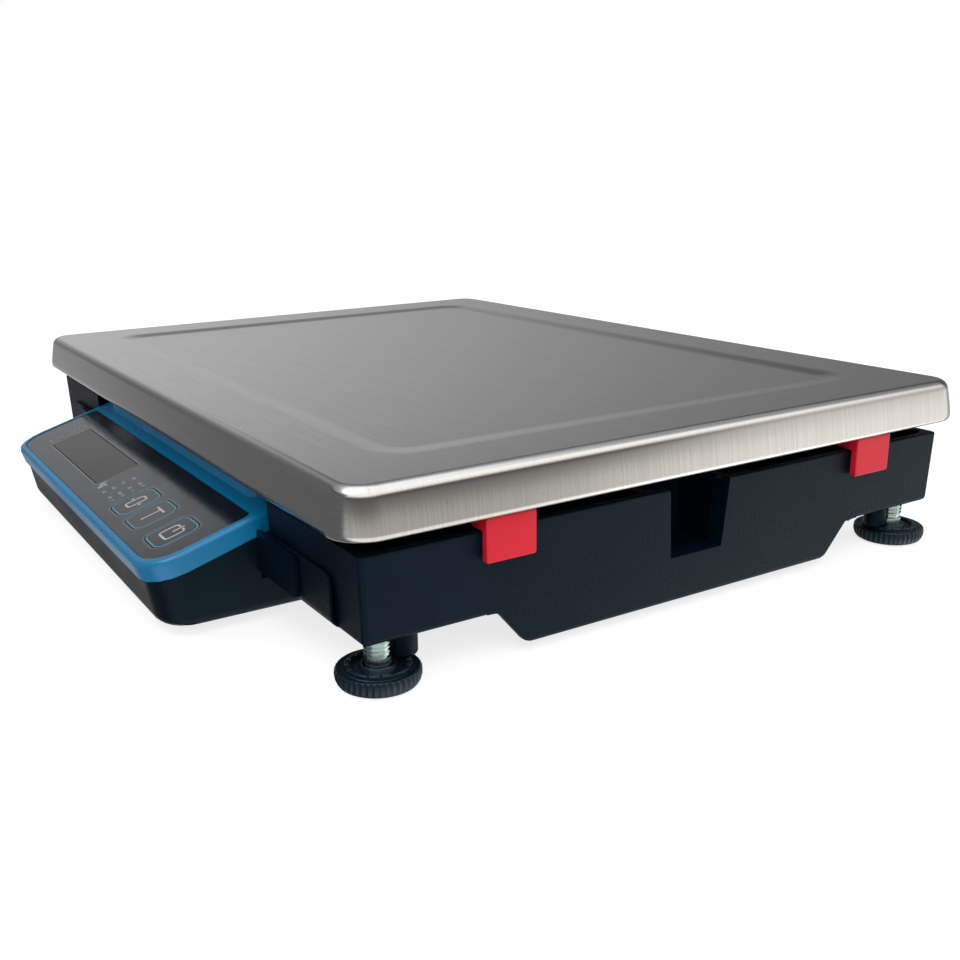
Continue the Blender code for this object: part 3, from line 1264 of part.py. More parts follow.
def cables():
    """The cell's cable and the supply lead, both clipped along the tray floor to the display board."""
    lead_y, lead_z = on_slope(-BOARD_REAR + GAP, BOARD_TOP + PLUG_SIZE[2] / 2 + GAP)
    neck_z = neck_sill() + CABLE_RADIUS + CABLE_RISE
    rest = FLOOR_TOP + RIB_HEIGHT + CABLE_RADIUS + GAP
    middle = (CELL_BOTTOM + CELL_TOP) / 2
    end = -CELL_LENGTH / 2 - GAP
    run = end - CABLE_RUN
    behind_neck = FRONT + BASE_WALL + CABLE_BEND / 2

    def into_display(plug_x):
        return [
            (plug_x, behind_neck, neck_z),
            (plug_x, FRONT + BASE_WALL / 2, neck_z),
            (plug_x, lead_y, lead_z),
        ]

    route = [
        (end, 0, middle),
        (end - CABLE_RUN / 2, -CABLE_BEND / 20, middle),
        (run + CABLE_RUN / 8, -CABLE_BEND * 0.4, (middle + rest) / 2),
        (run, -CABLE_BEND, rest),
        (run, -RIB_Y, rest),
        (run + CABLE_BEND / 2, -RIB_Y - CABLE_BEND, rest),
        (run + CABLE_BEND * 1.6, FRONT / 2 - RIB_Y / 2, rest),
        (CELL_PLUG_X - CABLE_BEND, behind_neck + CABLE_BEND / 2, rest),
        *into_display(CELL_PLUG_X),
    ]
    tube("cell_cable", route, CABLE_RADIUS, "cable")
    inner = HALF_Y - INLET_LENGTH
    route = [
        (INLET_X, inner, inlet_height()),
        (INLET_X, inner - CABLE_BEND * 0.4, inlet_height()),
        (INLET_X, inner - CABLE_BEND, rest),
        (INLET_X, RIB_Y, rest),
        (INLET_X, 0, rest),
        (INLET_X, -RIB_Y, rest),
        (INLET_X + CABLE_BEND / 4, -RIB_Y - CABLE_BEND, rest),
        (INLET_X + CABLE_BEND * 1.4, FRONT * 0.72, rest),
        (POWER_PLUG_X - CABLE_BEND, behind_neck + CABLE_BEND / 4, rest),
        *into_display(POWER_PLUG_X),
    ]
    tube("supply_lead", route, CABLE_RADIUS, "cable")


def centre_on_origin():
    """Moves the scale so that the origin lies under the middle of its overall box."""
    bpy.context.view_layer.update()
    graph = bpy.context.evaluated_depsgraph_get()
    low, high = Vector((1, 1, 1)) * 10, Vector((-1, -1, -1)) * 10
    for obj in PARTS.objects:
        if obj.type == "EMPTY":
            continue
        evaluated = obj.evaluated_get(graph)
        mesh = evaluated.to_mesh()
        for vert in mesh.vertices:
            point = evaluated.matrix_world @ vert.co
            low = Vector(map(min, low, point))
            high = Vector(map(max, high, point))
        evaluated.to_mesh_clear()
    SCALE.location = (-(low.x + high.x) / 2, -(low.y + high.y) / 2, -low.z)
    bpy.context.view_layer.update()
    print("scale origin moved by", [round(v, 6) for v in SCALE.location])


def main():
    platter()
    base_casting()
    clips()
    feet()
    load_cell()
    spacer()
    spider()
    buffers()
    stops()
    bezel()
    label()
    keys()
    display_inside()
    housing()
    bracket()
    power_inlet()
    cables()
    centre_on_origin()


main()
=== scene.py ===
import math

import bmesh
import bpy
from mathutils import Matrix, Vector


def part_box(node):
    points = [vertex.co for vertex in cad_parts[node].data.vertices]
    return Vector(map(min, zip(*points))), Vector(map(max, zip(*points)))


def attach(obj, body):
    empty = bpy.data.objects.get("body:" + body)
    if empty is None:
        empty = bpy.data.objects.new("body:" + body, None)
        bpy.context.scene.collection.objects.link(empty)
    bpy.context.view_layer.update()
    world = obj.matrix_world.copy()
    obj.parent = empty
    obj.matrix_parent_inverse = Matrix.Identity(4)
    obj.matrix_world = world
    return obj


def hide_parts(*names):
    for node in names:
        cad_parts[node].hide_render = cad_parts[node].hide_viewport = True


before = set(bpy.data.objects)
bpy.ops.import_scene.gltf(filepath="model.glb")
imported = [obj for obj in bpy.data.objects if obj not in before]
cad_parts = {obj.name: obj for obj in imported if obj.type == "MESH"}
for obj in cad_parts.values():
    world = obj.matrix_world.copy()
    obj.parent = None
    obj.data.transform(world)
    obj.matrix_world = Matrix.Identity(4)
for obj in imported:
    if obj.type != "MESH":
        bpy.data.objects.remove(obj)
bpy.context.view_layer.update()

MM = 0.001

# The sloping display panel: its rear end and its slope, as in the part
PANEL_ORIGIN = Vector((0, -123.081 * MM, 44.5 * MM))
PANEL_TILT = math.radians(17)
FOIL = -0.35 * MM  # the label's face, against the panel's own level
INK_SUNK = 0.02 * MM  # how far printing reaches into the foil
INK_PROUD = 0.04 * MM  # how far it stands above the foil

# The keys: the place of each centre across the panel, and the sizes that they share
KEYS = {"zero": 45.4 * MM, "tare": 66.2 * MM, "power": 92.4 * MM}
KEY_WIDTH = 17.6 * MM
KEY_LENGTH = 18.8 * MM
KEY_REAR = 19.8 * MM  # from the panel's rear end down the slope
KEY_CORNER = 4.5 * MM
KEY_LINE = 0.7 * MM
KEY_RIM = 1.1 * MM
KEY_RIM_GAP = 0.4 * MM
LEAST_INNER_CORNER = 0.1 * MM  # inside a printed line

# The display window
LCD_CENTRE_X = -40.2 * MM
LCD_LENGTH = 85.4 * MM
LCD_REAR = 14.7 * MM  # from the panel's rear end down the slope
LCD_DEPTH = 20.3 * MM

CORNERS = ("front_right", "front_left", "rear_right", "rear_left")
SOFT_BEND = 0.6  # angle, in radians, below which faces that meet are shaded as one


# Mesh helpers
def add_object(name, data):
    made = bpy.data.objects.new(name, data)
    bpy.context.scene.collection.objects.link(made)
    return made


def piece(name, shape, material, body=None, smooth=SOFT_BEND):
    """An object from a bmesh, which rides on a body."""
    bmesh.ops.recalc_face_normals(shape, faces=shape.faces)
    mesh = bpy.data.meshes.new(name)
    shape.to_mesh(mesh)
    shape.free()
    mesh.materials.append(material)
    mesh.shade_smooth()
    mesh.set_sharp_from_angle(angle=smooth)
    made = add_object(name, mesh)
    if body:
        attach(made, body)
    return made


def ring_faces(shape, lower, upper):
    """A band of faces between two rings of equally many points."""
    for index in range(len(lower)):
        after = (index + 1) % len(lower)
        shape.faces.new((lower[index], lower[after], upper[after], upper[index]))


def add_loft(shape, rings):
    """A closed solid through rings of equally many points."""
    loops = [[shape.verts.new(point) for point in ring] for ring in rings]
    for lower, upper in zip(loops, loops[1:]):
        ring_faces(shape, lower, upper)
    shape.faces.new(list(reversed(loops[0])))
    shape.faces.new(loops[-1])


def polar(centre, radius, angle, height):
    """A point round an upright axis."""
    return centre[0] + radius * math.cos(angle), centre[1] + radius * math.sin(angle), height


def circle(radius, height, steps, centre):
    turn = 2 * math.pi / steps
    return [polar(centre, radius, turn * index, height) for index in range(steps)]


def rounded_rect(x0, y0, x1, y1, radius, steps=6):
    """A rounded rectangle as a closed run of points."""
    outline = []
    corners = ((x1 - radius, y1 - radius, 0), (x0 + radius, y1 - radius, 90),
               (x0 + radius, y0 + radius, 180), (x1 - radius, y0 + radius, 270))
    for cx, cy, first in corners:
        for step in range(steps + 1):
            angle = math.radians(first + 90 * step / steps)
            outline.append((cx + radius * math.cos(angle), cy + radius * math.sin(angle)))
    return outline


def on_panel(x, along, above):
    """A point on the display panel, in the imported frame."""
    cos, sin = math.cos(PANEL_TILT), math.sin(PANEL_TILT)
    return PANEL_ORIGIN + Vector((x, along * cos - above * sin, along * sin + above * cos))


def add_print(shape, outline, hole=None):
    """Printing on the label: a thin solid with this outline, and with a hole of as many points."""
    levels = (FOIL - INK_SUNK, FOIL + INK_PROUD)
    sides = [
        [[shape.verts.new(on_panel(x, y, level)) for x, y in line] for level in levels]
        for line in (outline, hole)
        if line
    ]
    for lower, upper in sides:
        ring_faces(shape, lower, upper)
    if hole:
        ring_faces(shape, sides[0][0], sides[1][0])
        ring_faces(shape, sides[0][1], sides[1][1])
    else:
        shape.faces.new(sides[0][0])
        shape.faces.new(sides[0][1])


def add_bar(shape, x0, y0, x1, y1, radius):
    """A printed bar with small round corners."""
    add_print(shape, rounded_rect(x0, y0, x1, y1, radius, steps=3))


def add_frame(shape, x0, y0, x1, y1, radius, line):
    """A rounded rectangle drawn as a line."""
    inner = max(radius - line, LEAST_INNER_CORNER)
    add_print(
        shape,
        rounded_rect(x0, y0, x1, y1, radius),
        rounded_rect(x0 + line, y0 + line, x1 - line, y1 - line, inner),
    )


# Material helpers
class NodeTree:
    """The nodes of a material or of the world, added one by one."""

    def __init__(self, tree):
        self.tree = tree

    def node(self, kind, inputs=None, **settings):
        made = self.tree.nodes.new(kind)
        for key, value in settings.items():
            setattr(made, key, value)
        for key, value in (inputs or {}).items():
            self.feed(made.inputs[key], value)
        return made

    def feed(self, socket, value):
        """A socket gets a link from another one, or a plain value."""
        if isinstance(value, bpy.types.NodeSocket):
            self.tree.links.new(value, socket)
        else:
            socket.default_value = value

    def calc(self, operation, first, second=0.0):
        return self.node("ShaderNodeMath", {0: first, 1: second}, operation=operation).outputs[0]

    def mix(self, share, first, second):
        """A mix of two numbers."""
        rest = self.calc("SUBTRACT", 1.0, share)
        return self.calc("ADD", self.calc("MULTIPLY", first, rest), self.calc("MULTIPLY", second, share))

    def blend(self, factor, first, second):
        """A mix of two colours."""
        made = self.node("ShaderNodeMix", {"Factor": factor}, data_type="RGBA")
        for socket, value in ((made.inputs[6], first), (made.inputs[7], second)):
            self.feed(socket, (*value, 1) if isinstance(value, tuple) else value)
        return made.outputs[2]

    def ramp(self, value, span, levels=(0.0, 1.0)):
        """A soft step from one level to another, over a span of the value."""
        start, end = span
        first, last = levels
        return self.node(
            "ShaderNodeMapRange",
            {"Value": value, "From Min": start, "From Max": end, "To Min": first, "To Max": last},
            interpolation_type="SMOOTHSTEP",
        ).outputs["Result"]


class Surface(NodeTree):
    """A material: plain values for its shader first, then the nodes that vary them."""

    def __init__(self, name, **sockets):
        self.material = bpy.data.materials.new(name)
        self.material.use_nodes = True
        super().__init__(self.material.node_tree)
        self.shader = self.tree.nodes["Principled BSDF"]
        self.set(**sockets)

    def set(self, **sockets):
        for key, value in sockets.items():
            self.feed(self.shader.inputs[key.replace("_", " ")], value)
        return self.material

    def place(self):
        return self.node("ShaderNodeTexCoord").outputs["Object"]

    def stretched(self, x, y, z):
        """The place on the object, scaled by a different amount along each axis."""
        return self.node("ShaderNodeMapping", {"Vector": self.place(), "Scale": (x, y, z)}).outputs["Vector"]

    def noise(self, vector, scale=1.0, detail=2.0, roughness=0.5):
        made = self.node(
            "ShaderNodeTexNoise",
            {"Vector": vector, "Scale": scale, "Detail": detail, "Roughness": roughness},
        )
        return made.outputs["Fac"]

    def spread(self, value, low, high, from_low=0.3, from_high=0.7):
        """A value moved to another range, from the one in which most of a noise lies."""
        return self.node(
            "ShaderNodeMapRange",
            {"Value": value, "From Min": from_low, "From Max": from_high, "To Min": low, "To Max": high},
        ).outputs["Result"]

    def bump(self, height, strength, distance, under=None):
        inputs = {"Height": height, "Strength": strength, "Distance": distance}
        if under is not None:
            inputs["Normal"] = under
        return self.node("ShaderNodeBump", inputs).outputs["Normal"]


# Materials. Scales are in grains or marks to the metre.
COOL = (0.55, 0.80, 1.0, 1.0)  # tint of the gloss on the black paint and plastic

STEEL_PALE = (0.625, 0.625, 0.632)
STEEL_MARK = (0.52, 0.52, 0.525)
STEEL_STREAK = (0.555, 0.555, 0.56)
STEEL_SCUFF = (0.42, 0.41, 0.40)
MARKS_ACROSS = 1500  # brush marks are counted across their run and along it
MARKS_ALONG = 22

PAINT_SPECK = (0.20, 0.23, 0.25)
SPECK_SIZE = 0.05  # as a share of the space between specks
SPECK_STRENGTH = 0.35

BOARD_GREEN = (0.012, 0.12, 0.05, 1)
BOARD_SECOND_GREEN = (0.014, 0.15, 0.06, 1)
BOARD_TRACK = (0.05, 0.28, 0.12, 1)


def brushed_steel():
    """Satin steel brushed from side to side, so the marks run down the side skirts."""
    s = Surface("steel_brushed", Metallic=1.0, Roughness=0.24)
    coords = s.node("ShaderNodeTexCoord")
    at = s.node("ShaderNodeSeparateXYZ", {0: coords.outputs["Object"]})
    facing = s.node("ShaderNodeSeparateXYZ", {0: coords.outputs["Normal"]})
    # front is 1 on the front and rear skirts, upright is 1 on all four
    front = s.calc("GREATER_THAN", s.calc("ABSOLUTE", facing.outputs[1]), 0.75)
    upright = s.calc("LESS_THAN", s.calc("ABSOLUTE", facing.outputs[2]), 0.6)
    across = s.node(
        "ShaderNodeMix", {"Factor": front, 2: at.outputs[1], 3: at.outputs[2]}, data_type="FLOAT"
    ).outputs[0]
    down = s.calc("MULTIPLY", at.outputs[2], s.calc("SUBTRACT", 1.0, front))
    along = s.calc("ADD", at.outputs[0], down)
    marks = s.node(
        "ShaderNodeCombineXYZ",
        {0: s.calc("MULTIPLY", across, MARKS_ACROSS), 1: s.calc("MULTIPLY", along, MARKS_ALONG), 2: front},
    ).outputs[0]
    fine = s.noise(marks, detail=3.0, roughness=0.6)
    broad = s.noise(s.stretched(3.0, 240.0, 30.0), detail=3.0, roughness=0.55)
    soft = s.noise(s.place(), 7.0)
    wear = s.noise(s.place(), 420.0, detail=3.0, roughness=0.7)
    depth = s.spread(upright, 0.15, 0.8, 0.0, 1.0)
    tone = s.blend(s.calc("MULTIPLY", s.spread(fine, 0.0, 1.0), depth), STEEL_PALE, STEEL_MARK)
    tone = s.blend(s.spread(broad, 0.0, 0.18), tone, STEEL_STREAK)
    scuff = s.calc("MULTIPLY", s.spread(wear, 0.0, 0.5, 0.62, 0.75), s.spread(soft, 0.0, 1.0, 0.5, 0.62))
    tone = s.blend(scuff, tone, STEEL_SCUFF)
    rough = s.calc("ADD", s.spread(fine, 0.17, 0.22), s.spread(upright, 0.04, -0.01, 0.0, 1.0))
    normal = s.bump(s.calc("MULTIPLY", fine, depth), 0.05, 0.06 * MM)
    return s.set(Base_Color=tone, Roughness=rough, Normal=normal)


def powder_coat(name, dark, light, rough):
    """Fine-grained black coating with a few pale specks."""
    s = Surface(name, Roughness=rough, Specular_IOR_Level=0.16, Specular_Tint=COOL)
    grain = s.noise(s.place(), 900.0, detail=3.0, roughness=0.65)
    patch = s.noise(s.place(), 30.0, detail=4.0, roughness=0.6)
    tone = s.blend(s.spread(patch, 0.0, 1.0), dark, light)
    cells = s.node("ShaderNodeTexVoronoi", {"Vector": s.place(), "Scale": 260.0, "Randomness": 1.0})
    dots = s.calc("LESS_THAN", cells.outputs["Distance"], SPECK_SIZE)
    rare = s.calc("GREATER_THAN", s.noise(s.place(), 45.0), 0.66)
    specks = s.calc("MULTIPLY", s.calc("MULTIPLY", dots, rare), SPECK_STRENGTH)
    tone = s.blend(specks, tone, PAINT_SPECK)
    tone = s.blend(s.spread(grain, 0.0, 0.5), tone, light)
    normal = s.bump(grain, 0.8, 0.22 * MM)
    return s.set(Base_Color=tone, Roughness=s.spread(grain, rough - 0.06, rough + 0.08), Normal=normal)


def moulded(name, dark, light, rough, grain_scale=1800.0, grain=0.25, **sockets):
    """Moulded plastic: a fine spark-eroded texture, faint flow marks, slightly uneven gloss."""
    s = Surface(name, Roughness=rough, **sockets)
    texture = s.noise(s.place(), grain_scale, roughness=0.55)
    flow = s.noise(s.stretched(14.0, 40.0, 60.0), detail=3.0, roughness=0.55)
    tone = s.blend(s.spread(flow, 0.0, 1.0), dark, light)
    normal = s.bump(texture, grain, 0.08 * MM)
    return s.set(Base_Color=tone, Roughness=s.spread(flow, rough - 0.05, rough + 0.06), Normal=normal)


def metal(name, dark, light, rough, stretch=(200.0, 200.0, 200.0), grain=0.15):
    """Plated or cast metal with cloudy tone and fine marks."""
    s = Surface(name, Metallic=1.0, Roughness=rough)
    cloud = s.noise(s.place(), 70.0, detail=3.0, roughness=0.6)
    marks = s.noise(s.stretched(*stretch), detail=3.0, roughness=0.6)
    tone = s.blend(s.spread(cloud, 0.0, 1.0), dark, light)
    normal = s.bump(marks, grain, 0.1 * MM)
    return s.set(Base_Color=tone, Roughness=s.spread(marks, rough - 0.08, rough + 0.1), Normal=normal)


def foil(name, dark, light, rough, texture, level):
    """The label's foil: fine sand texture with a soft sheen."""
    s = Surface(name, Roughness=rough, Specular_IOR_Level=level)
    sand = s.noise(s.place(), 1300.0, detail=3.0, roughness=0.65)
    cloud = s.noise(s.place(), 55.0, detail=4.0, roughness=0.6)
    tone = s.blend(s.spread(sand, 0.0, 1.0), dark, light)
    normal = s.bump(sand, texture, 0.03 * MM)
    normal = s.bump(cloud, texture, 0.3 * MM, normal)
    return s.set(Base_Color=tone, Roughness=s.spread(cloud, rough - 0.04, rough + 0.08), Normal=normal)


def ink(name, dark, light, rough=0.42):
    """Printing, worn a little unevenly."""
    s = Surface(name, Roughness=rough)
    worn = s.noise(s.place(), 900.0, detail=3.0, roughness=0.6)
    tone = s.blend(s.spread(worn, 0.0, 1.0), dark, light)
    return s.set(Base_Color=tone, Roughness=s.spread(worn, rough, rough + 0.1))


def circuit_board():
    """Green board with rows of paler tracks."""
    s = Surface("board_green", Roughness=0.4)
    tracks = s.node(
        "ShaderNodeTexBrick",
        {"Vector": s.stretched(160.0, 420.0, 420.0), "Scale": 1.0, "Mortar Size": 0.06,
         "Color1": BOARD_GREEN, "Color2": BOARD_SECOND_GREEN, "Mortar": BOARD_TRACK},
    )
    return s.set(Base_Color=tracks.outputs["Color"], Normal=s.bump(tracks.outputs["Fac"], 0.1, 0.2 * MM))


STEEL = brushed_steel()
CASTING = powder_coat("casting_coat", (0.0002, 0.0036, 0.0095), (0.0010, 0.0072, 0.0155), rough=0.42)
BRACKET = powder_coat("bracket_coat", (0.0002, 0.0034, 0.0085), (0.0009, 0.0066, 0.0140), rough=0.40)
RED = moulded(
    "clip_red", (0.68, 0.012, 0.028), (0.78, 0.018, 0.040), rough=0.40, grain_scale=900.0, grain=0.10,
    Specular_IOR_Level=0.35,
)
BLUE = moulded(
    "bezel_blue", (0.0004, 0.172, 0.375), (0.0010, 0.197, 0.415), rough=0.30, Specular_IOR_Level=0.6
)
HOUSING = moulded(
    "housing_black", (0.0002, 0.0038, 0.0090), (0.0008, 0.0062, 0.0130), rough=0.38,
    Specular_IOR_Level=0.18, Specular_Tint=COOL,
)
FOOT = moulded(
    "foot_black", (0.0014, 0.0070, 0.0130), (0.0030, 0.0105, 0.0180), rough=0.36, grain_scale=1200.0,
    Specular_IOR_Level=0.5, Specular_Tint=COOL,
)
RUBBER = moulded(
    "buffer_rubber", (0.014, 0.014, 0.014), (0.022, 0.022, 0.022), rough=0.75, grain_scale=700.0, grain=0.3
)
CABLE = moulded(
    "cable_jacket", (0.022, 0.022, 0.024), (0.034, 0.034, 0.036), rough=0.55, grain_scale=900.0, grain=0.2
)
ZINC = metal("zinc_plate", (0.50, 0.66, 0.68), (0.74, 0.86, 0.87), rough=0.22)
CAST_ALLOY = metal(
    "cast_alloy", (0.50, 0.51, 0.52), (0.60, 0.61, 0.62), rough=0.45,
    stretch=(300.0, 300.0, 300.0), grain=0.35,
)
MILLED = metal(
    "milled_alloy", (0.60, 0.61, 0.62), (0.68, 0.69, 0.70), rough=0.34, stretch=(30.0, 1800.0, 1800.0)
)
LABEL = foil(
    "label_foil", (0.004, 0.008, 0.014), (0.016, 0.021, 0.029), rough=0.09, texture=0.22, level=0.95
)
# painted highlight: the pressed-up rim round each key is drawn flat, and this paler foil stands in for the
# light it catches
RIM_PAINTED_HIGHLIGHT = foil(
    "label_rim_painted_highlight", (0.050, 0.055, 0.064), (0.085, 0.090, 0.100), rough=0.10, texture=0.22, level=0.85
)
WINDOW = foil(
    "display_window", (0.004, 0.005, 0.007), (0.007, 0.008, 0.010), rough=0.08, texture=0.06, level=0.40
)
BOARD = circuit_board()
INK_WHITE = ink("ink_white", (0.42, 0.43, 0.44), (0.58, 0.59, 0.60))
INK_BLUE = ink("ink_blue", (0.075, 0.22, 0.33), (0.115, 0.30, 0.43))
INK_GREY = ink("ink_grey", (0.17, 0.17, 0.175), (0.26, 0.26, 0.265))

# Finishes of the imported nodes: the first entry that starts a node's name is the one it gets
FINISHES = {
    "platter_spider": CAST_ALLOY,
    "platter_buffer": RUBBER,
    "platter": STEEL,
    "base_casting": CASTING,
    "load_cell": MILLED,
    "cell_cable": CABLE,
    "supply_lead": CABLE,
    "cell_": ZINC,
    "overload_stop": ZINC,
    "foot_disc": FOOT,
    "foot_stud": ZINC,
    "transport_clip": RED,
    "display_bracket": BRACKET,
    "display_housing": HOUSING,
    "display_bezel": BLUE,
    "display_window": WINDOW,
    "display_board": BOARD,
    "bracket_screw": ZINC,
    "housing_screw": ZINC,
    "keypad_label": LABEL,
    "key_": LABEL,
    "lcd_module": ZINC,
    "power_inlet": HOUSING,
}


def dress_nodes():
    for name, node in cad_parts.items():
        finish = next(material for start, material in FINISHES.items() if name.startswith(start))
        node.data.materials.clear()
        node.data.materials.append(finish)


dress_nodes()

# Visible nodes with softened edges
WELD = 2e-6  # points closer than this become one
FLAT_ANGLE = math.radians(0.6)  # facets that meet below this angle become one face
SHARP_ANGLE = math.radians(33)  # edges above this angle are rounded
EDGE_SEGMENTS = 2
FOIL_EDGE = 0.06 * MM
CLIP_EDGE = 0.3 * MM


def refined(node, body, width):
    """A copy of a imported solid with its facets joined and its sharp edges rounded, in the node's place."""
    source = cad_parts[node]
    shape = bmesh.new()
    shape.from_mesh(source.data)
    bmesh.ops.remove_doubles(shape, verts=shape.verts, dist=WELD)
    bmesh.ops.dissolve_limit(shape, angle_limit=FLAT_ANGLE, verts=shape.verts, edges=shape.edges)
    mesh = bpy.data.meshes.new(f"{node}_refined")
    shape.to_mesh(mesh)
    shape.free()
    mesh.materials.append(source.data.materials[0])
    # the solid's own normals don't fit the joined faces
    if "custom_normal" in mesh.attributes:
        mesh.attributes.remove(mesh.attributes["custom_normal"])
    mesh.shade_smooth()
    made = add_object(f"{node}_refined", mesh)
    edges = made.modifiers.new("edges", "BEVEL")
    edges.width = width
    edges.segments = EDGE_SEGMENTS
    edges.limit_method = "ANGLE"
    edges.angle_limit = SHARP_ANGLE
    made.modifiers.new("shading", "WEIGHTED_NORMAL")
    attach(made, body)
    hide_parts(node)


# the node, its slot, and the width of its rounded edges
for node, slot, width in (
    ("base_casting", "casting_paint", 0.35 * MM),
    ("display_bracket", "bracket_paint", 0.2 * MM),
    ("display_housing", "housing_black", 0.3 * MM),
    ("display_bezel", "bezel_blue", 0.25 * MM),
    ("keypad_label", "label_foil", FOIL_EDGE),
    ("display_window", "window_clear", FOIL_EDGE),
    ("power_inlet", "housing_black", 0.2 * MM),
):
    refined(node, "tray", width)
for corner in CORNERS:
    refined(f"transport_clip_{corner}", f"clip_{corner}", CLIP_EDGE)
for key in KEYS:
    refined(f"key_{key}", f"key_{key}", FOIL_EDGE)

# Platter
SHEET = 1.2 * MM
FOLD = 4.5 * MM
FOLD_END = math.radians(10.5)  # the skirt's lean where it meets the fold
FLARE = 1.9 * MM  # how far the skirt leans out, from the fold down to the hem
SKIRT_HOLLOW = 1.25  # above 1 the skirt is a little hollow at its foot
PLATTER_CORNER = 14 * MM
LEAST_CORNER = 2 * MM
CORNER_STEPS = 14
HEM_WIDTH = 2.6 * MM
HEM_HEIGHT = 3.0 * MM
HEM_ROLL = 2.5 * MM  # height of the hem's rounded outer edge
HEM_INNER = 0.9 * MM  # size of its inner edge's chamfer, which bulges to the middle point below
HEM_MIDDLE_INSET = 0.4 * MM
HEM_MIDDLE_RISE = 0.25 * MM
FIELD_INSET = 30 * MM
FIELD_SLOPE = 12 * MM
FIELD_CORNER = 17 * MM
FIELD_DROP = 1.0 * MM
UNDER_DROP = 0.5 * MM
FLAT_STRIP = 0.6 * MM  # beside each bend, to keep the shading of the flats even
FOLD_BEND = 1.2  # the platter's own angle for shading, so that the whole sheet is smooth


def platter_sheet():
    """The folded sheet: hem, skirt leaning out, rounded fold, and the field with its soft step."""
    low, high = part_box("platter")
    top, hem = high.z, low.z
    reach = FOLD * math.cos(FOLD_END)
    crease = top - FOLD * (1 - math.sin(FOLD_END))

    def ring(inset, height, radius=None):
        radius = radius or max(PLATTER_CORNER - inset, LEAST_CORNER)
        outline = rounded_rect(
            low.x + inset, low.y + inset, high.x - inset, high.y - inset, radius, CORNER_STEPS
        )
        return [(x, y, height) for x, y in outline]

    def fold(radius, steps):
        for step in range(steps + 1):
            angle = FOLD_END + (math.pi / 2 - FOLD_END) * step / steps
            yield FLARE + reach - radius * math.cos(angle), top - FOLD + radius * math.sin(angle)

    def roll(steps):
        """The hem's outer half, from its lowest line up to the skirt."""
        for step in range(steps + 1):
            angle = math.pi / 2 * (1 - step / steps)
            yield HEM_WIDTH / 2 * (1 - math.cos(angle)), hem + HEM_ROLL * (1 - math.sin(angle))

    def skirt(steps):
        """From above the hem to the fold, which it runs into without a bend."""
        for step in range(1, steps):
            share = step / steps
            yield FLARE * share ** SKIRT_HOLLOW, hem + HEM_ROLL + (crease - hem - HEM_ROLL) * share

    def field(steps):
        """The soft step down into the pressed field."""
        for step in range(steps + 1):
            share = step / steps
            drop = FIELD_DROP * share * share * (3 - 2 * share)
            yield FIELD_INSET + FIELD_SLOPE * share, top - drop, FIELD_CORNER * (1 - share / 2)

    # each ring's inset and height, and the radius of its corners where that isn't the sheet's own
    rings = [
        (FIELD_INSET + 2 * FIELD_SLOPE, top - SHEET - UNDER_DROP, FIELD_CORNER / 2),
        (FIELD_INSET, top - SHEET, FIELD_CORNER),
        *reversed(list(fold(FOLD - SHEET, steps=5))),
        (SHEET, hem + HEM_HEIGHT + HEM_WIDTH - SHEET),
        (HEM_WIDTH, hem + HEM_HEIGHT),
        (HEM_WIDTH, hem + HEM_INNER),
        (HEM_WIDTH - HEM_MIDDLE_INSET, hem + HEM_MIDDLE_RISE),
        (HEM_WIDTH - HEM_INNER, hem),
        *roll(steps=8),
        *skirt(steps=10),
        *fold(FOLD, steps=14),
        (FLARE + reach + FLAT_STRIP, top),
        (FIELD_INSET - FLAT_STRIP, top),
        *field(steps=18),
        (FIELD_INSET + FIELD_SLOPE + FLAT_STRIP, top - FIELD_DROP, FIELD_CORNER / 2),
    ]
    shape = bmesh.new()
    add_loft(shape, [ring(*place_at) for place_at in rings])
    made = piece("platter_folded", shape, STEEL, "platter", smooth=FOLD_BEND)
    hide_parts("platter")


platter_sheet()

# Studs and feet
STUD_CREST = 4.85 * MM
STUD_ROOT = 4.05 * MM
STUD_STEPS = 32
STUD_IN_DISC = 5.6 * MM
COLLAR = 3.0 * MM  # plain length from the disc's socket up
COLLAR_EASE = 0.02 * MM  # the collar is this much thinner than the thread
COLLAR_CHAMFER = 0.5 * MM
TIP_CHAMFER = 0.6 * MM

PITCH = 1.5 * MM
THREAD_STEPS = 24  # in one turn
THREAD_FADE = 8  # steps over which the ridge rises and runs out
THREAD_SUNK = 0.1 * MM  # how far the ridge's foot goes into the stud
THREAD_FOOT = 0.47  # half width of the ridge at its foot and at its crest, in pitches
THREAD_CREST = 0.12
THREAD_START = 0.2 * MM  # above the collar
THREAD_END = 1.1 * MM  # below the stud's top

DISC_RADIUS = 14.9 * MM
DISC_TOP = 6.2 * MM
DISC_FLUTES = 44
FLUTE_DEPTH = 0.42 * MM
FLUTE = (0.0, 0.75, 1.0, 0.75)  # share of the depth at the points of one flute
RING_TOP = 7.3 * MM
RING_OUTER = 11.4 * MM
RING_INNER = 9.7 * MM
RING_CUTS = 16
CUT_DEPTH = 0.55 * MM
SOCKET = 5.15 * MM
SOCKET_FLOOR = 1.6 * MM
DISC_BEND = 0.5  # the disc's own angle for shading, at which its flutes stay crisp


def add_thread(shape, centre, low, high):
    """One helical ridge round a stud, run out at both ends."""
    steps = int((high - low) / PITCH * THREAD_STEPS)
    rings = []
    for step in range(steps + 1):
        angle = 2 * math.pi * step / THREAD_STEPS
        height = low + PITCH * step / THREAD_STEPS
        fade = min(1.0, step / THREAD_FADE, (steps - step) / THREAD_FADE)
        crest = STUD_ROOT + (STUD_CREST - STUD_ROOT) * fade
        foot = STUD_ROOT - THREAD_SUNK
        profile = ((foot, -THREAD_FOOT), (crest, -THREAD_CREST), (crest, THREAD_CREST), (foot, THREAD_FOOT))
        rings.append([polar(centre, radius, angle, height + share * PITCH) for radius, share in profile])
    add_loft(shape, rings)


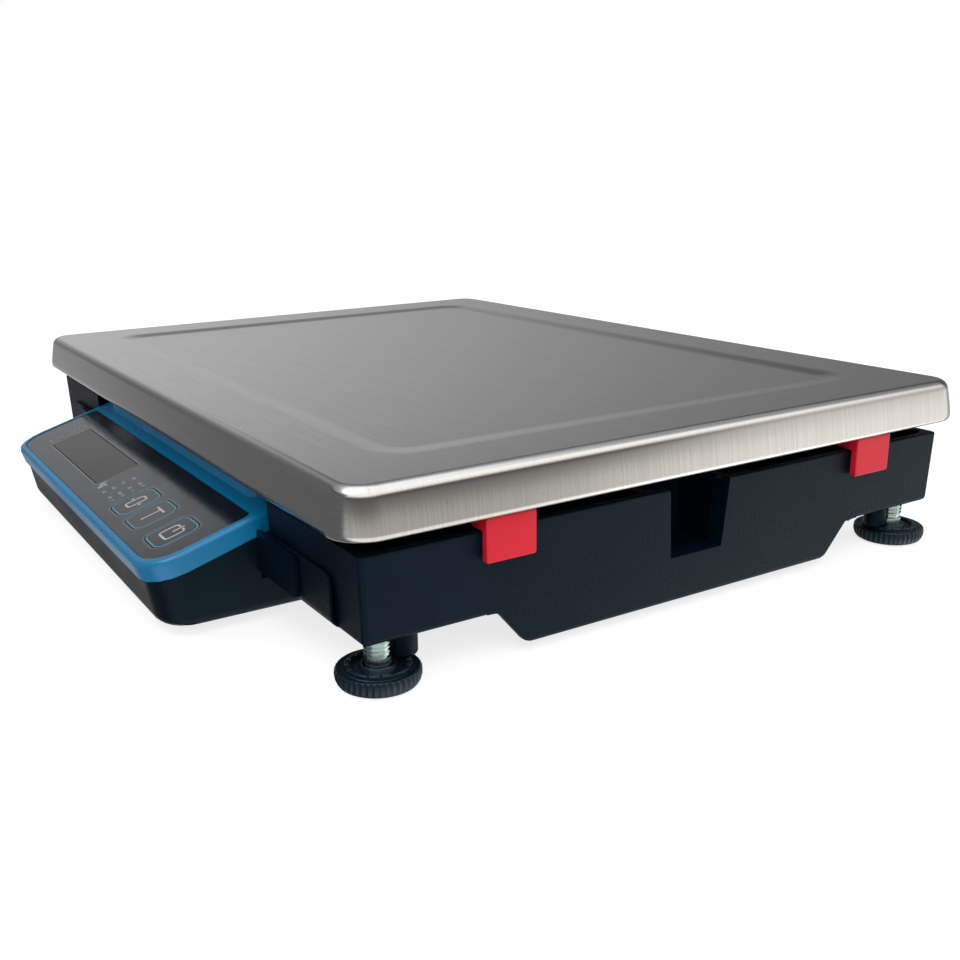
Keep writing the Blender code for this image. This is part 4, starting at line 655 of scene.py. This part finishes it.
def stud(corner):
    """A zinc-plated stud: a plain collar in and above the disc, and the thread above that."""
    node = f"foot_stud_{corner}"
    low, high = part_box(node)
    centre = (low + high) / 2
    collar = STUD_CREST - COLLAR_EASE
    collar_top = low.z + STUD_IN_DISC + COLLAR
    levels = (
        (STUD_CREST - COLLAR_CHAMFER, low.z),
        (collar, low.z + COLLAR_CHAMFER),
        (collar, collar_top - COLLAR_CHAMFER),
        (STUD_ROOT, collar_top),
        (STUD_ROOT, high.z - TIP_CHAMFER),
        (STUD_ROOT - TIP_CHAMFER, high.z),
    )
    shape = bmesh.new()
    add_loft(shape, [circle(radius, height, STUD_STEPS, centre) for radius, height in levels])
    add_thread(shape, centre, collar_top + THREAD_START, high.z - THREAD_END)
    made = piece(f"{node}_threaded", shape, ZINC, f"stud_{corner}")
    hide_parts(node)


# The disc's section, from its underside over its side and its ring into its socket: the radius, the height,
# the share of the flutes' depth, and whether the cuts through the ring lower the point
DISC_SECTION = (
    (DISC_RADIUS - 3.4 * MM, 0, 0, False),
    (DISC_RADIUS - 2.2 * MM, 0.15 * MM, 0, False),
    (DISC_RADIUS - 1.2 * MM, 0.7 * MM, 0.1, False),
    (DISC_RADIUS - 0.45 * MM, 1.8 * MM, 0.8, False),
    (DISC_RADIUS - 0.05 * MM, 3.2 * MM, 1, False),
    (DISC_RADIUS, 4.6 * MM, 1, False),
    (DISC_RADIUS - 0.15 * MM, DISC_TOP - 0.5 * MM, 0.8, False),
    (DISC_RADIUS - 0.7 * MM, DISC_TOP - 0.05 * MM, 0, False),
    (DISC_RADIUS - 1.0 * MM, DISC_TOP, 0, False),
    (DISC_RADIUS - 1.5 * MM, DISC_TOP - 0.1 * MM, 0, False),
    (DISC_RADIUS - 1.8 * MM, DISC_TOP - 0.5 * MM, 0, False),
    (RING_OUTER + 0.5 * MM, DISC_TOP - 0.5 * MM, 0, False),
    (RING_OUTER + 0.2 * MM, DISC_TOP - 0.3 * MM, 0, False),
    (RING_OUTER, RING_TOP - 0.2 * MM, 0, True),
    (RING_OUTER - 0.2 * MM, RING_TOP, 0, True),
    (RING_INNER + 0.3 * MM, RING_TOP, 0, True),
    (RING_INNER, RING_TOP - 0.2 * MM, 0, True),
    (RING_INNER - 0.4 * MM, DISC_TOP - 0.4 * MM, 0, False),
    (RING_INNER - 0.8 * MM, DISC_TOP - 0.6 * MM, 0, False),
    (SOCKET + 1.7 * MM, DISC_TOP - 0.3 * MM, 0, False),
    (SOCKET + 1.4 * MM, DISC_TOP + 0.2 * MM, 0, False),
    (SOCKET + 1.2 * MM, DISC_TOP + 0.8 * MM, 0, False),
    (SOCKET + 0.9 * MM, RING_TOP, 0, False),
    (SOCKET + 0.2 * MM, RING_TOP, 0, False),
    (SOCKET, RING_TOP - 0.2 * MM, 0, False),
    (SOCKET, SOCKET_FLOOR, 0, False),
)


def disc(corner):
    """The knurled disc: flutes round its side, a stepped top with a ring cut into segments."""
    node = f"foot_disc_{corner}"
    low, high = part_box(node)
    centre = (low + high) / 2
    steps = DISC_FLUTES * len(FLUTE)
    rings = []
    for reach, height, fluted, cut in DISC_SECTION:
        ring = []
        for index in range(steps):
            angle = 2 * math.pi * index / steps
            radius = reach - FLUTE_DEPTH * fluted * FLUTE[index % len(FLUTE)]
            in_cut = cut and index % (steps // RING_CUTS) == 0
            ring.append(polar(centre, radius, angle, low.z + height - (CUT_DEPTH if in_cut else 0)))
        rings.append(ring)
    shape = bmesh.new()
    add_loft(shape, rings)
    made = piece(f"{node}_knurled", shape, FOOT, f"disc_{corner}", smooth=DISC_BEND)
    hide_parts(node)


for corner in CORNERS:
    stud(corner)
    disc(corner)

# Screws with their heads down, which show on the underside
SCREW_STEPS = 48
SCREW_BEND = 0.7  # the screws' own angle for shading
HEAD_PROFILE = ((0.72, 0.0), (0.92, 0.15), (1.0, 0.45), (1.0, 1.0))  # shares of the head's radius and height
CROSS_SHARE = 0.62  # the drive's size, as a share of the head's radius
HEXAGON_SHARE = 0.55
CROSS_WAIST = 0.38  # the narrow part of a cross, as a share of its arms
CROSS_SHARPNESS = 6
DRIVE_DEPTH_SHARE = 0.75
DRIVE_DEPTH_MOST = 1.6 * MM
DRIVE_FLOOR = 0.7  # the floor and the chamfered mouth, as shares of the drive's size
DRIVE_MOUTH = 1.05
DRIVE_CHAMFER = 0.1 * MM
SHANK_CHAMFER = 0.4 * MM


def socket_ring(radius, height, centre, cross):
    """A ring of the drive in a screw head: a cross, or a hexagon."""
    ring = []
    for index in range(SCREW_STEPS):
        angle = 2 * math.pi * index / SCREW_STEPS
        if cross:
            arms = abs(math.cos(2 * angle)) ** CROSS_SHARPNESS
            reach = radius * (CROSS_WAIST + (1 - CROSS_WAIST) * arms)
        else:
            reach = radius * math.cos(math.pi / 6) / math.cos((angle % (math.pi / 3)) - math.pi / 6)
        ring.append(polar(centre, reach, angle, height))
    return ring


def screw(node, head_radius, head_height, shank_radius, cross):
    """A screw with its head down, and the drive cut into the head."""
    low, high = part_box(node)
    centre = (low + high) / 2
    base = low.z
    drive = head_radius * (CROSS_SHARE if cross else HEXAGON_SHARE)
    depth = min(head_height * DRIVE_DEPTH_SHARE, DRIVE_DEPTH_MOST)
    outside = [
        *((head_radius * wide, base + head_height * up) for wide, up in HEAD_PROFILE),
        (shank_radius, base + head_height),
        (shank_radius, high.z - SHANK_CHAMFER),
        (shank_radius - SHANK_CHAMFER, high.z),
    ]
    rings = [
        socket_ring(drive * DRIVE_FLOOR, base + depth, centre, cross),
        socket_ring(drive, base + DRIVE_CHAMFER, centre, cross),
        socket_ring(drive * DRIVE_MOUTH, base, centre, cross),
        *(circle(radius, height, SCREW_STEPS, centre) for radius, height in outside),
    ]
    shape = bmesh.new()
    add_loft(shape, rings)
    made = piece(f"{node}_driven", shape, ZINC, "tray", smooth=SCREW_BEND)
    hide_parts(node)


for word in ("left", "right"):
    for index in (1, 2):
        screw(f"bracket_screw_{word}_{index}", 4.4 * MM, 2.2 * MM, 2.5 * MM, cross=True)
for index in range(1, 5):
    screw(f"housing_screw_{index}", 3.0 * MM, 2.0 * MM, 1.5 * MM, cross=True)
for index in (1, 2):
    screw(f"cell_base_screw_{index}", 5.0 * MM, 2.6 * MM, 3.0 * MM, cross=False)

# Printing on the label. Places along the panel count down from its rear end, so they are negative.
BAR_CORNER = 0.15 * MM
OUTLINE_INSET = 0.06 * MM  # a key's printed outline starts this far inside its patch
SIGN_LINE = 0.85 * MM
SIGN_HALF = 4.6 * MM  # half the height of a sign
ZERO_HALF = 2.9 * MM
ZERO_CORNER = 1.6 * MM
ARROW_TIP = 3.3 * MM  # the small arrows beside the zero, from its middle
ARROW_TAIL = 4.9 * MM
ARROW_HALF = 0.9 * MM
TARE_HALF = 4.2 * MM
TARE_GAP = 0.02 * MM  # a hair between the bar and the stem
LOOP_HALF = 4.6 * MM
LOOP_TOP = 4.4 * MM
LOOP_CORNER = 2.0 * MM
LOOP_INNER_CORNER = 1.2 * MM
LOOP_GAP = 1.1 * MM
STROKE_FOOT = 0.2 * MM  # the stroke starts above the loop's middle and ends above its top
STROKE_RISE = 0.9 * MM
TOUCH = 1e-9  # slack when two places are compared

FRAME_GAP = 0.7 * MM
FRAME_CORNER = 0.9 * MM
FRAME_LINE = 0.55 * MM

MARK_COLUMNS = ((15.6 * MM, 4.2 * MM), (25.2 * MM, 4.4 * MM), (30.6 * MM, 2.0 * MM))  # left end and length
MARK_ROWS = (-21.6 * MM, -26.3 * MM, -31.0 * MM, -35.4 * MM)
MARK_HALF = 0.8 * MM
MARK_CORNER = 0.5 * MM
SHORT_MARK = 0.7  # share of the length in every second row
INDICATOR_X = -90.6 * MM
INDICATOR_ROWS = (-19.6 * MM, -29.2 * MM)
INDICATOR_OUTER = 1.7 * MM
INDICATOR_INNER = 1.1 * MM
INDICATOR_STEPS = 20
DASH_ROWS = (-15.2 * MM, -34.0 * MM)
DASH_REACH = 2.2 * MM
DASH_HALF = 0.6 * MM
DASH_CORNER = 0.4 * MM

UNIT_X = 7.6 * MM
UNIT_ALONG = -34.6 * MM
UNIT_SIZE = 6.0 * MM


def zero_sign(shape, x, middle):
    """A zero between two small arrows."""
    add_frame(
        shape, x - ZERO_HALF, middle - SIGN_HALF, x + ZERO_HALF, middle + SIGN_HALF, ZERO_CORNER, SIGN_LINE
    )
    for side in (-1, 1):
        tip, tail = x + side * ARROW_TIP, x + side * ARROW_TAIL
        arrow = [(tip, middle), (tail, middle + ARROW_HALF), (tail, middle - ARROW_HALF)]
        add_print(shape, arrow if side < 0 else arrow[::-1])


def tare_sign(shape, x, middle):
    """A capital T."""
    top = middle + SIGN_HALF
    half = SIGN_LINE / 2
    add_bar(shape, x - TARE_HALF, top - SIGN_LINE, x + TARE_HALF, top, BAR_CORNER)
    add_bar(shape, x - half, middle - SIGN_HALF, x + half, top - SIGN_LINE - TARE_GAP, BAR_CORNER)


def power_sign(shape, x, middle):
    """A loop that stays open at its top, round a stroke."""
    low, high = middle - SIGN_HALF, middle + LOOP_TOP
    inside = LOOP_HALF - SIGN_LINE
    outer = rounded_rect(x - LOOP_HALF, low, x + LOOP_HALF, high, LOOP_CORNER)
    inner = rounded_rect(x - inside, low + SIGN_LINE, x + inside, high - SIGN_LINE, LOOP_INNER_CORNER)
    start = next(i for i, (px, py) in enumerate(outer) if py >= high - TOUCH and px < x)
    runs = [
        [(x - LOOP_GAP, edge), *line[start:], *line[:start], (x + LOOP_GAP, edge)]
        for line, edge in ((outer, high), (inner, high - SIGN_LINE))
    ]
    add_print(shape, runs[0] + runs[1][::-1])
    half = SIGN_LINE / 2
    add_bar(shape, x - half, middle + STROKE_FOOT, x + half, high + STROKE_RISE, BAR_CORNER)


SIGNS = {"zero": zero_sign, "tare": tare_sign, "power": power_sign}


def key_graphics():
    """Each key's outline and sign on its own patch, and the low rim that is pressed up round it. The rim is
    drawn flat in a paler foil, as a painted highlight for the light it catches.
    """
    front, rear = -KEY_REAR - KEY_LENGTH, -KEY_REAR
    half = KEY_WIDTH / 2 - OUTLINE_INSET
    grow = KEY_RIM_GAP + KEY_RIM
    reach = KEY_WIDTH / 2 + grow
    for name, x in KEYS.items():
        shape = bmesh.new()
        add_frame(shape, x - half, front + OUTLINE_INSET, x + half, rear - OUTLINE_INSET,
                  KEY_CORNER - OUTLINE_INSET, KEY_LINE)
        made = piece(f"key_{name}_outline", shape, INK_BLUE, f"key_{name}")

        # the rim round the key: flat, in the paler foil that paints its highlight
        shape = bmesh.new()
        add_frame(shape, x - reach, front - grow, x + reach, rear + grow, KEY_CORNER + grow, KEY_RIM)
        made = piece(f"key_{name}_rim", shape, RIM_PAINTED_HIGHLIGHT, "tray")

        shape = bmesh.new()
        SIGNS[name](shape, x, (front + rear) / 2)
        made = piece(f"key_{name}_sign", shape, INK_WHITE, f"key_{name}")


def window_frame():
    """The thin line round the display window."""
    half = LCD_LENGTH / 2 + FRAME_GAP
    shape = bmesh.new()
    add_frame(shape, LCD_CENTRE_X - half, -LCD_REAR - LCD_DEPTH - FRAME_GAP,
              LCD_CENTRE_X + half, -LCD_REAR + FRAME_GAP, FRAME_CORNER, FRAME_LINE)
    made = piece("window_frame_print", shape, INK_GREY, "tray")


def indicator_marks():
    """Small bars on the window's right, and two rings between two bars on its left."""
    shape = bmesh.new()
    for x, length in MARK_COLUMNS:
        for row, y in enumerate(MARK_ROWS):
            share = SHORT_MARK if row % 2 else 1.0
            add_bar(shape, x, y - MARK_HALF, x + length * share, y + MARK_HALF, MARK_CORNER)
    for y in INDICATOR_ROWS:
        outer, inner = (
            [point[:2] for point in circle(radius, 0, INDICATOR_STEPS, (INDICATOR_X, y))]
            for radius in (INDICATOR_OUTER, INDICATOR_INNER)
        )
        add_print(shape, outer, inner)
    for y in DASH_ROWS:
        add_bar(shape, INDICATOR_X - DASH_REACH, y - DASH_HALF,
                INDICATOR_X + DASH_REACH, y + DASH_HALF, DASH_CORNER)
    made = piece("indicator_marks", shape, INK_GREY, "tray")


def unit_mark(text, x, along, size):
    """A unit sign as flat printing, in a plain font."""
    curve = bpy.data.curves.new(text, "FONT")
    curve.body = text
    curve.size = size
    curve.extrude = (INK_SUNK + INK_PROUD) / 2
    curve.align_x = "CENTER"
    drawn = add_object(text, curve)
    bpy.context.view_layer.update()
    mesh = bpy.data.meshes.new_from_object(drawn.evaluated_get(bpy.context.evaluated_depsgraph_get()))
    bpy.data.objects.remove(drawn, do_unlink=True)
    bpy.data.curves.remove(curve)
    middle = FOIL + (INK_PROUD - INK_SUNK) / 2
    mesh.transform(Matrix.Translation(on_panel(x, along, middle)) @ Matrix.Rotation(PANEL_TILT, 4, "X"))
    mesh.materials.clear()
    mesh.materials.append(INK_WHITE)
    made = add_object(f"unit_{text}_print", mesh)
    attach(made, "tray")


key_graphics()
window_frame()
indicator_marks()
unit_mark("kg", UNIT_X, UNIT_ALONG, UNIT_SIZE)

# Studio. Lamps have a name, a place, the side of their square, and a power in watts.
FLOOR_HALF = 15.0
FLOOR_DROP = 0.2 * MM  # the floor lies this far below the feet
FLOOR_TONE = 0.82
FLOOR_SHADE = 0.42  # its colour to the camera, to which the glow below is added
FLOOR_GLOW = 0.78
LAMPS = (
    ("key_lamp", (1.25, -0.55, 1.25), 1.1, 13.0),
    ("fill_lamp", (-1.0, -1.2, 1.1), 1.4, 5.0),
    ("rear_lamp", (-0.3, 1.5, 1.3), 1.2, 6.0),
)
LAMP_AIM = Vector((0, 0, 0.04))

EVEN_LIGHT = 0.55  # what the room gives to surfaces that don't mirror it
WHITE = (1, 1, 1)
WARM = (1, 0.955, 0.87)
CEILING_LIGHT = 1.6
SOFTBOX_LIGHT = 2.4
SOFTBOX_AT = (0.02, -0.50, 0.866)


def floor_paint():
    """Matt pale floor, which glows to the camera so that it looks white and keeps the object's shadow."""
    s = Surface("studio_floor", Roughness=0.9, Specular_IOR_Level=0.0)
    seen = s.node("ShaderNodeLightPath").outputs["Is Camera Ray"]
    grain = s.noise(s.place(), 40.0)
    shade = s.spread(seen, FLOOR_TONE, FLOOR_SHADE, 0.0, 1.0)
    tone = s.calc("MULTIPLY", shade, s.spread(grain, 0.99, 1.0))
    s.set(Base_Color=s.node("ShaderNodeCombineColor", {0: tone, 1: tone, 2: tone}).outputs[0])
    strength = s.calc("MULTIPLY", seen, FLOOR_GLOW)
    glow = s.node("ShaderNodeEmission", {"Color": (*WHITE, 1), "Strength": strength})
    mixed = s.node("ShaderNodeAddShader", {0: s.shader.outputs[0], 1: glow.outputs[0]})
    s.feed(s.tree.nodes["Material Output"].inputs["Surface"], mixed.outputs[0])
    return s.material


def area_lamp(name, place, size, power):
    lamp = bpy.data.lights.new(name, "AREA")
    lamp.shape = "SQUARE"
    lamp.size = size
    lamp.energy = power
    made = add_object(name, lamp)
    made.location = place
    made.visible_glossy = False
    made.rotation_euler = (LAMP_AIM - Vector(place)).to_track_quat("-Z", "Y").to_euler()


def left_side(sky, height, far):
    """The room on the left: a wall, dimmer to the back, to the front and higher up, over a dim table."""
    # towards the back only the wall's lower part is lit
    low_light = sky.mix(sky.ramp(far, (0.08, 0.30)), 1.0, sky.ramp(height, (0.24, 0.38), (1.0, 0.18)))
    wall = sky.calc("MULTIPLY", sky.ramp(far, (0.15, 0.95), (0.66, 0.17)), low_light)
    # dimmer higher up and to the front, but grey again near the ceiling
    wall = sky.calc("MULTIPLY", wall, sky.ramp(height, (0.38, 0.47), (1.0, 0.40)))
    wall = sky.calc("MULTIPLY", wall, sky.ramp(far, (-0.30, 0.18), (0.25, 1.0)))
    wall = sky.calc("MAXIMUM", wall, sky.ramp(height, (0.47, 0.60), (0.0, 0.40)))
    table = sky.ramp(far, (-0.45, 0.0), (0.155, 0.49))
    return sky.mix(sky.ramp(height, (-0.06, 0.06)), table, wall)


def right_side(sky, height, far):
    """The room on the right: a table, brighter to the back and close by, and a wall, dark just above it."""
    table = sky.ramp(far, (0.50, 0.76), (0.60, 1.32))
    table = sky.calc("MULTIPLY", table, sky.ramp(height, (-0.60, -0.42), (2.2, 1.0)))
    wall = sky.mix(sky.ramp(height, (0.26, 0.62)), sky.ramp(far, (0.62, 0.76), (0.10, 0.75)), 1.6)
    return sky.mix(sky.ramp(height, (0.0, 0.08)), table, wall)


def world_light():
    """White to the camera, even light for matt surfaces, and for mirrors a room with a ceiling.

    A direction's height is 0 when it is level and 1 straight up. Far and side are the same, to the back and
    to the right.
    """
    world = bpy.data.worlds.new("studio")
    bpy.context.scene.world = world
    world.use_nodes = True
    sky = NodeTree(world.node_tree)
    direction = sky.node("ShaderNodeTexCoord").outputs["Generated"]

    def towards(axis):
        made = sky.node("ShaderNodeVectorMath", {0: direction, 1: axis}, operation="DOT_PRODUCT")
        return made.outputs["Value"]

    height, far, side = towards((0, 0, 1)), towards((0, 1, 0)), towards((1, 0, 0))
    left, right = left_side(sky, height, far), right_side(sky, height, far)
    room = sky.mix(sky.ramp(side, (0.05, 0.32)), left, right)
    # a bright ceiling with a softbox in it
    room = sky.calc("MAXIMUM", room, sky.ramp(height, (0.76, 0.88), (0.0, CEILING_LIGHT)))
    room = sky.calc("ADD", room, sky.ramp(towards(SOFTBOX_AT), (0.93, 0.97), (0.0, SOFTBOX_LIGHT)))
    path = sky.node("ShaderNodeLightPath")
    mirror = sky.calc("MAXIMUM", path.outputs["Is Glossy Ray"], path.outputs["Is Transmission Ray"])
    light = sky.mix(mirror, EVEN_LIGHT, room)
    seen = path.outputs["Is Camera Ray"]
    strength = sky.calc("ADD", seen, sky.calc("MULTIPLY", light, sky.calc("SUBTRACT", 1.0, seen)))
    # the light from the right is a little warm
    warmth = sky.calc("MULTIPLY", sky.ramp(side, (0.1, 0.5)), mirror)
    background = world.node_tree.nodes["Background"]
    sky.feed(background.inputs["Strength"], strength)
    sky.feed(background.inputs["Color"], sky.blend(warmth, WHITE, WARM))


def studio():
    shape = bmesh.new()
    bmesh.ops.create_grid(shape, x_segments=2, y_segments=2, size=FLOOR_HALF)
    floor = piece("studio_floor", shape, floor_paint())
    floor.location.z = -FLOOR_DROP
    floor.visible_glossy = False
    for lamp in LAMPS:
        area_lamp(*lamp)
    world_light()


# Camera
CAMERA_PLACE = (0.48134, -0.263671, 0.16654)
CAMERA_SIDE = math.radians(58.78)  # round the object, from its front
CAMERA_LIFT = math.radians(16.6)
CAMERA_ROLL = math.radians(-1.15)
CAMERA_SENSOR = 36
CAMERA_LENS = 41.034
CAMERA_SHIFT = (0.03074, 0.01032)
CAMERA_CLIP = (0.01, 100)


def camera():
    """The photograph's own camera, fitted to the platter, the tray and the feet."""
    level = math.cos(CAMERA_LIFT)
    back = Vector((math.sin(CAMERA_SIDE) * level, -math.cos(CAMERA_SIDE) * level, math.sin(CAMERA_LIFT)))
    right = (-back).cross(Vector((0, 0, 1))).normalized()
    up = back.cross(right)
    cos, sin = math.cos(CAMERA_ROLL), math.sin(CAMERA_ROLL)
    data = bpy.data.cameras.new("photo_camera")
    data.sensor_width = CAMERA_SENSOR
    data.lens = CAMERA_LENS
    data.shift_x, data.shift_y = CAMERA_SHIFT
    data.clip_start, data.clip_end = CAMERA_CLIP
    made = add_object("photo_camera", data)
    turn = Matrix((right * cos + up * sin, up * cos - right * sin, back)).transposed()
    made.matrix_world = Matrix.Translation(CAMERA_PLACE) @ turn.to_4x4()
    bpy.context.scene.camera = made


studio()
camera()
bpy.context.scene.view_settings.view_transform = "Standard"

bpy.context.view_layer.update()
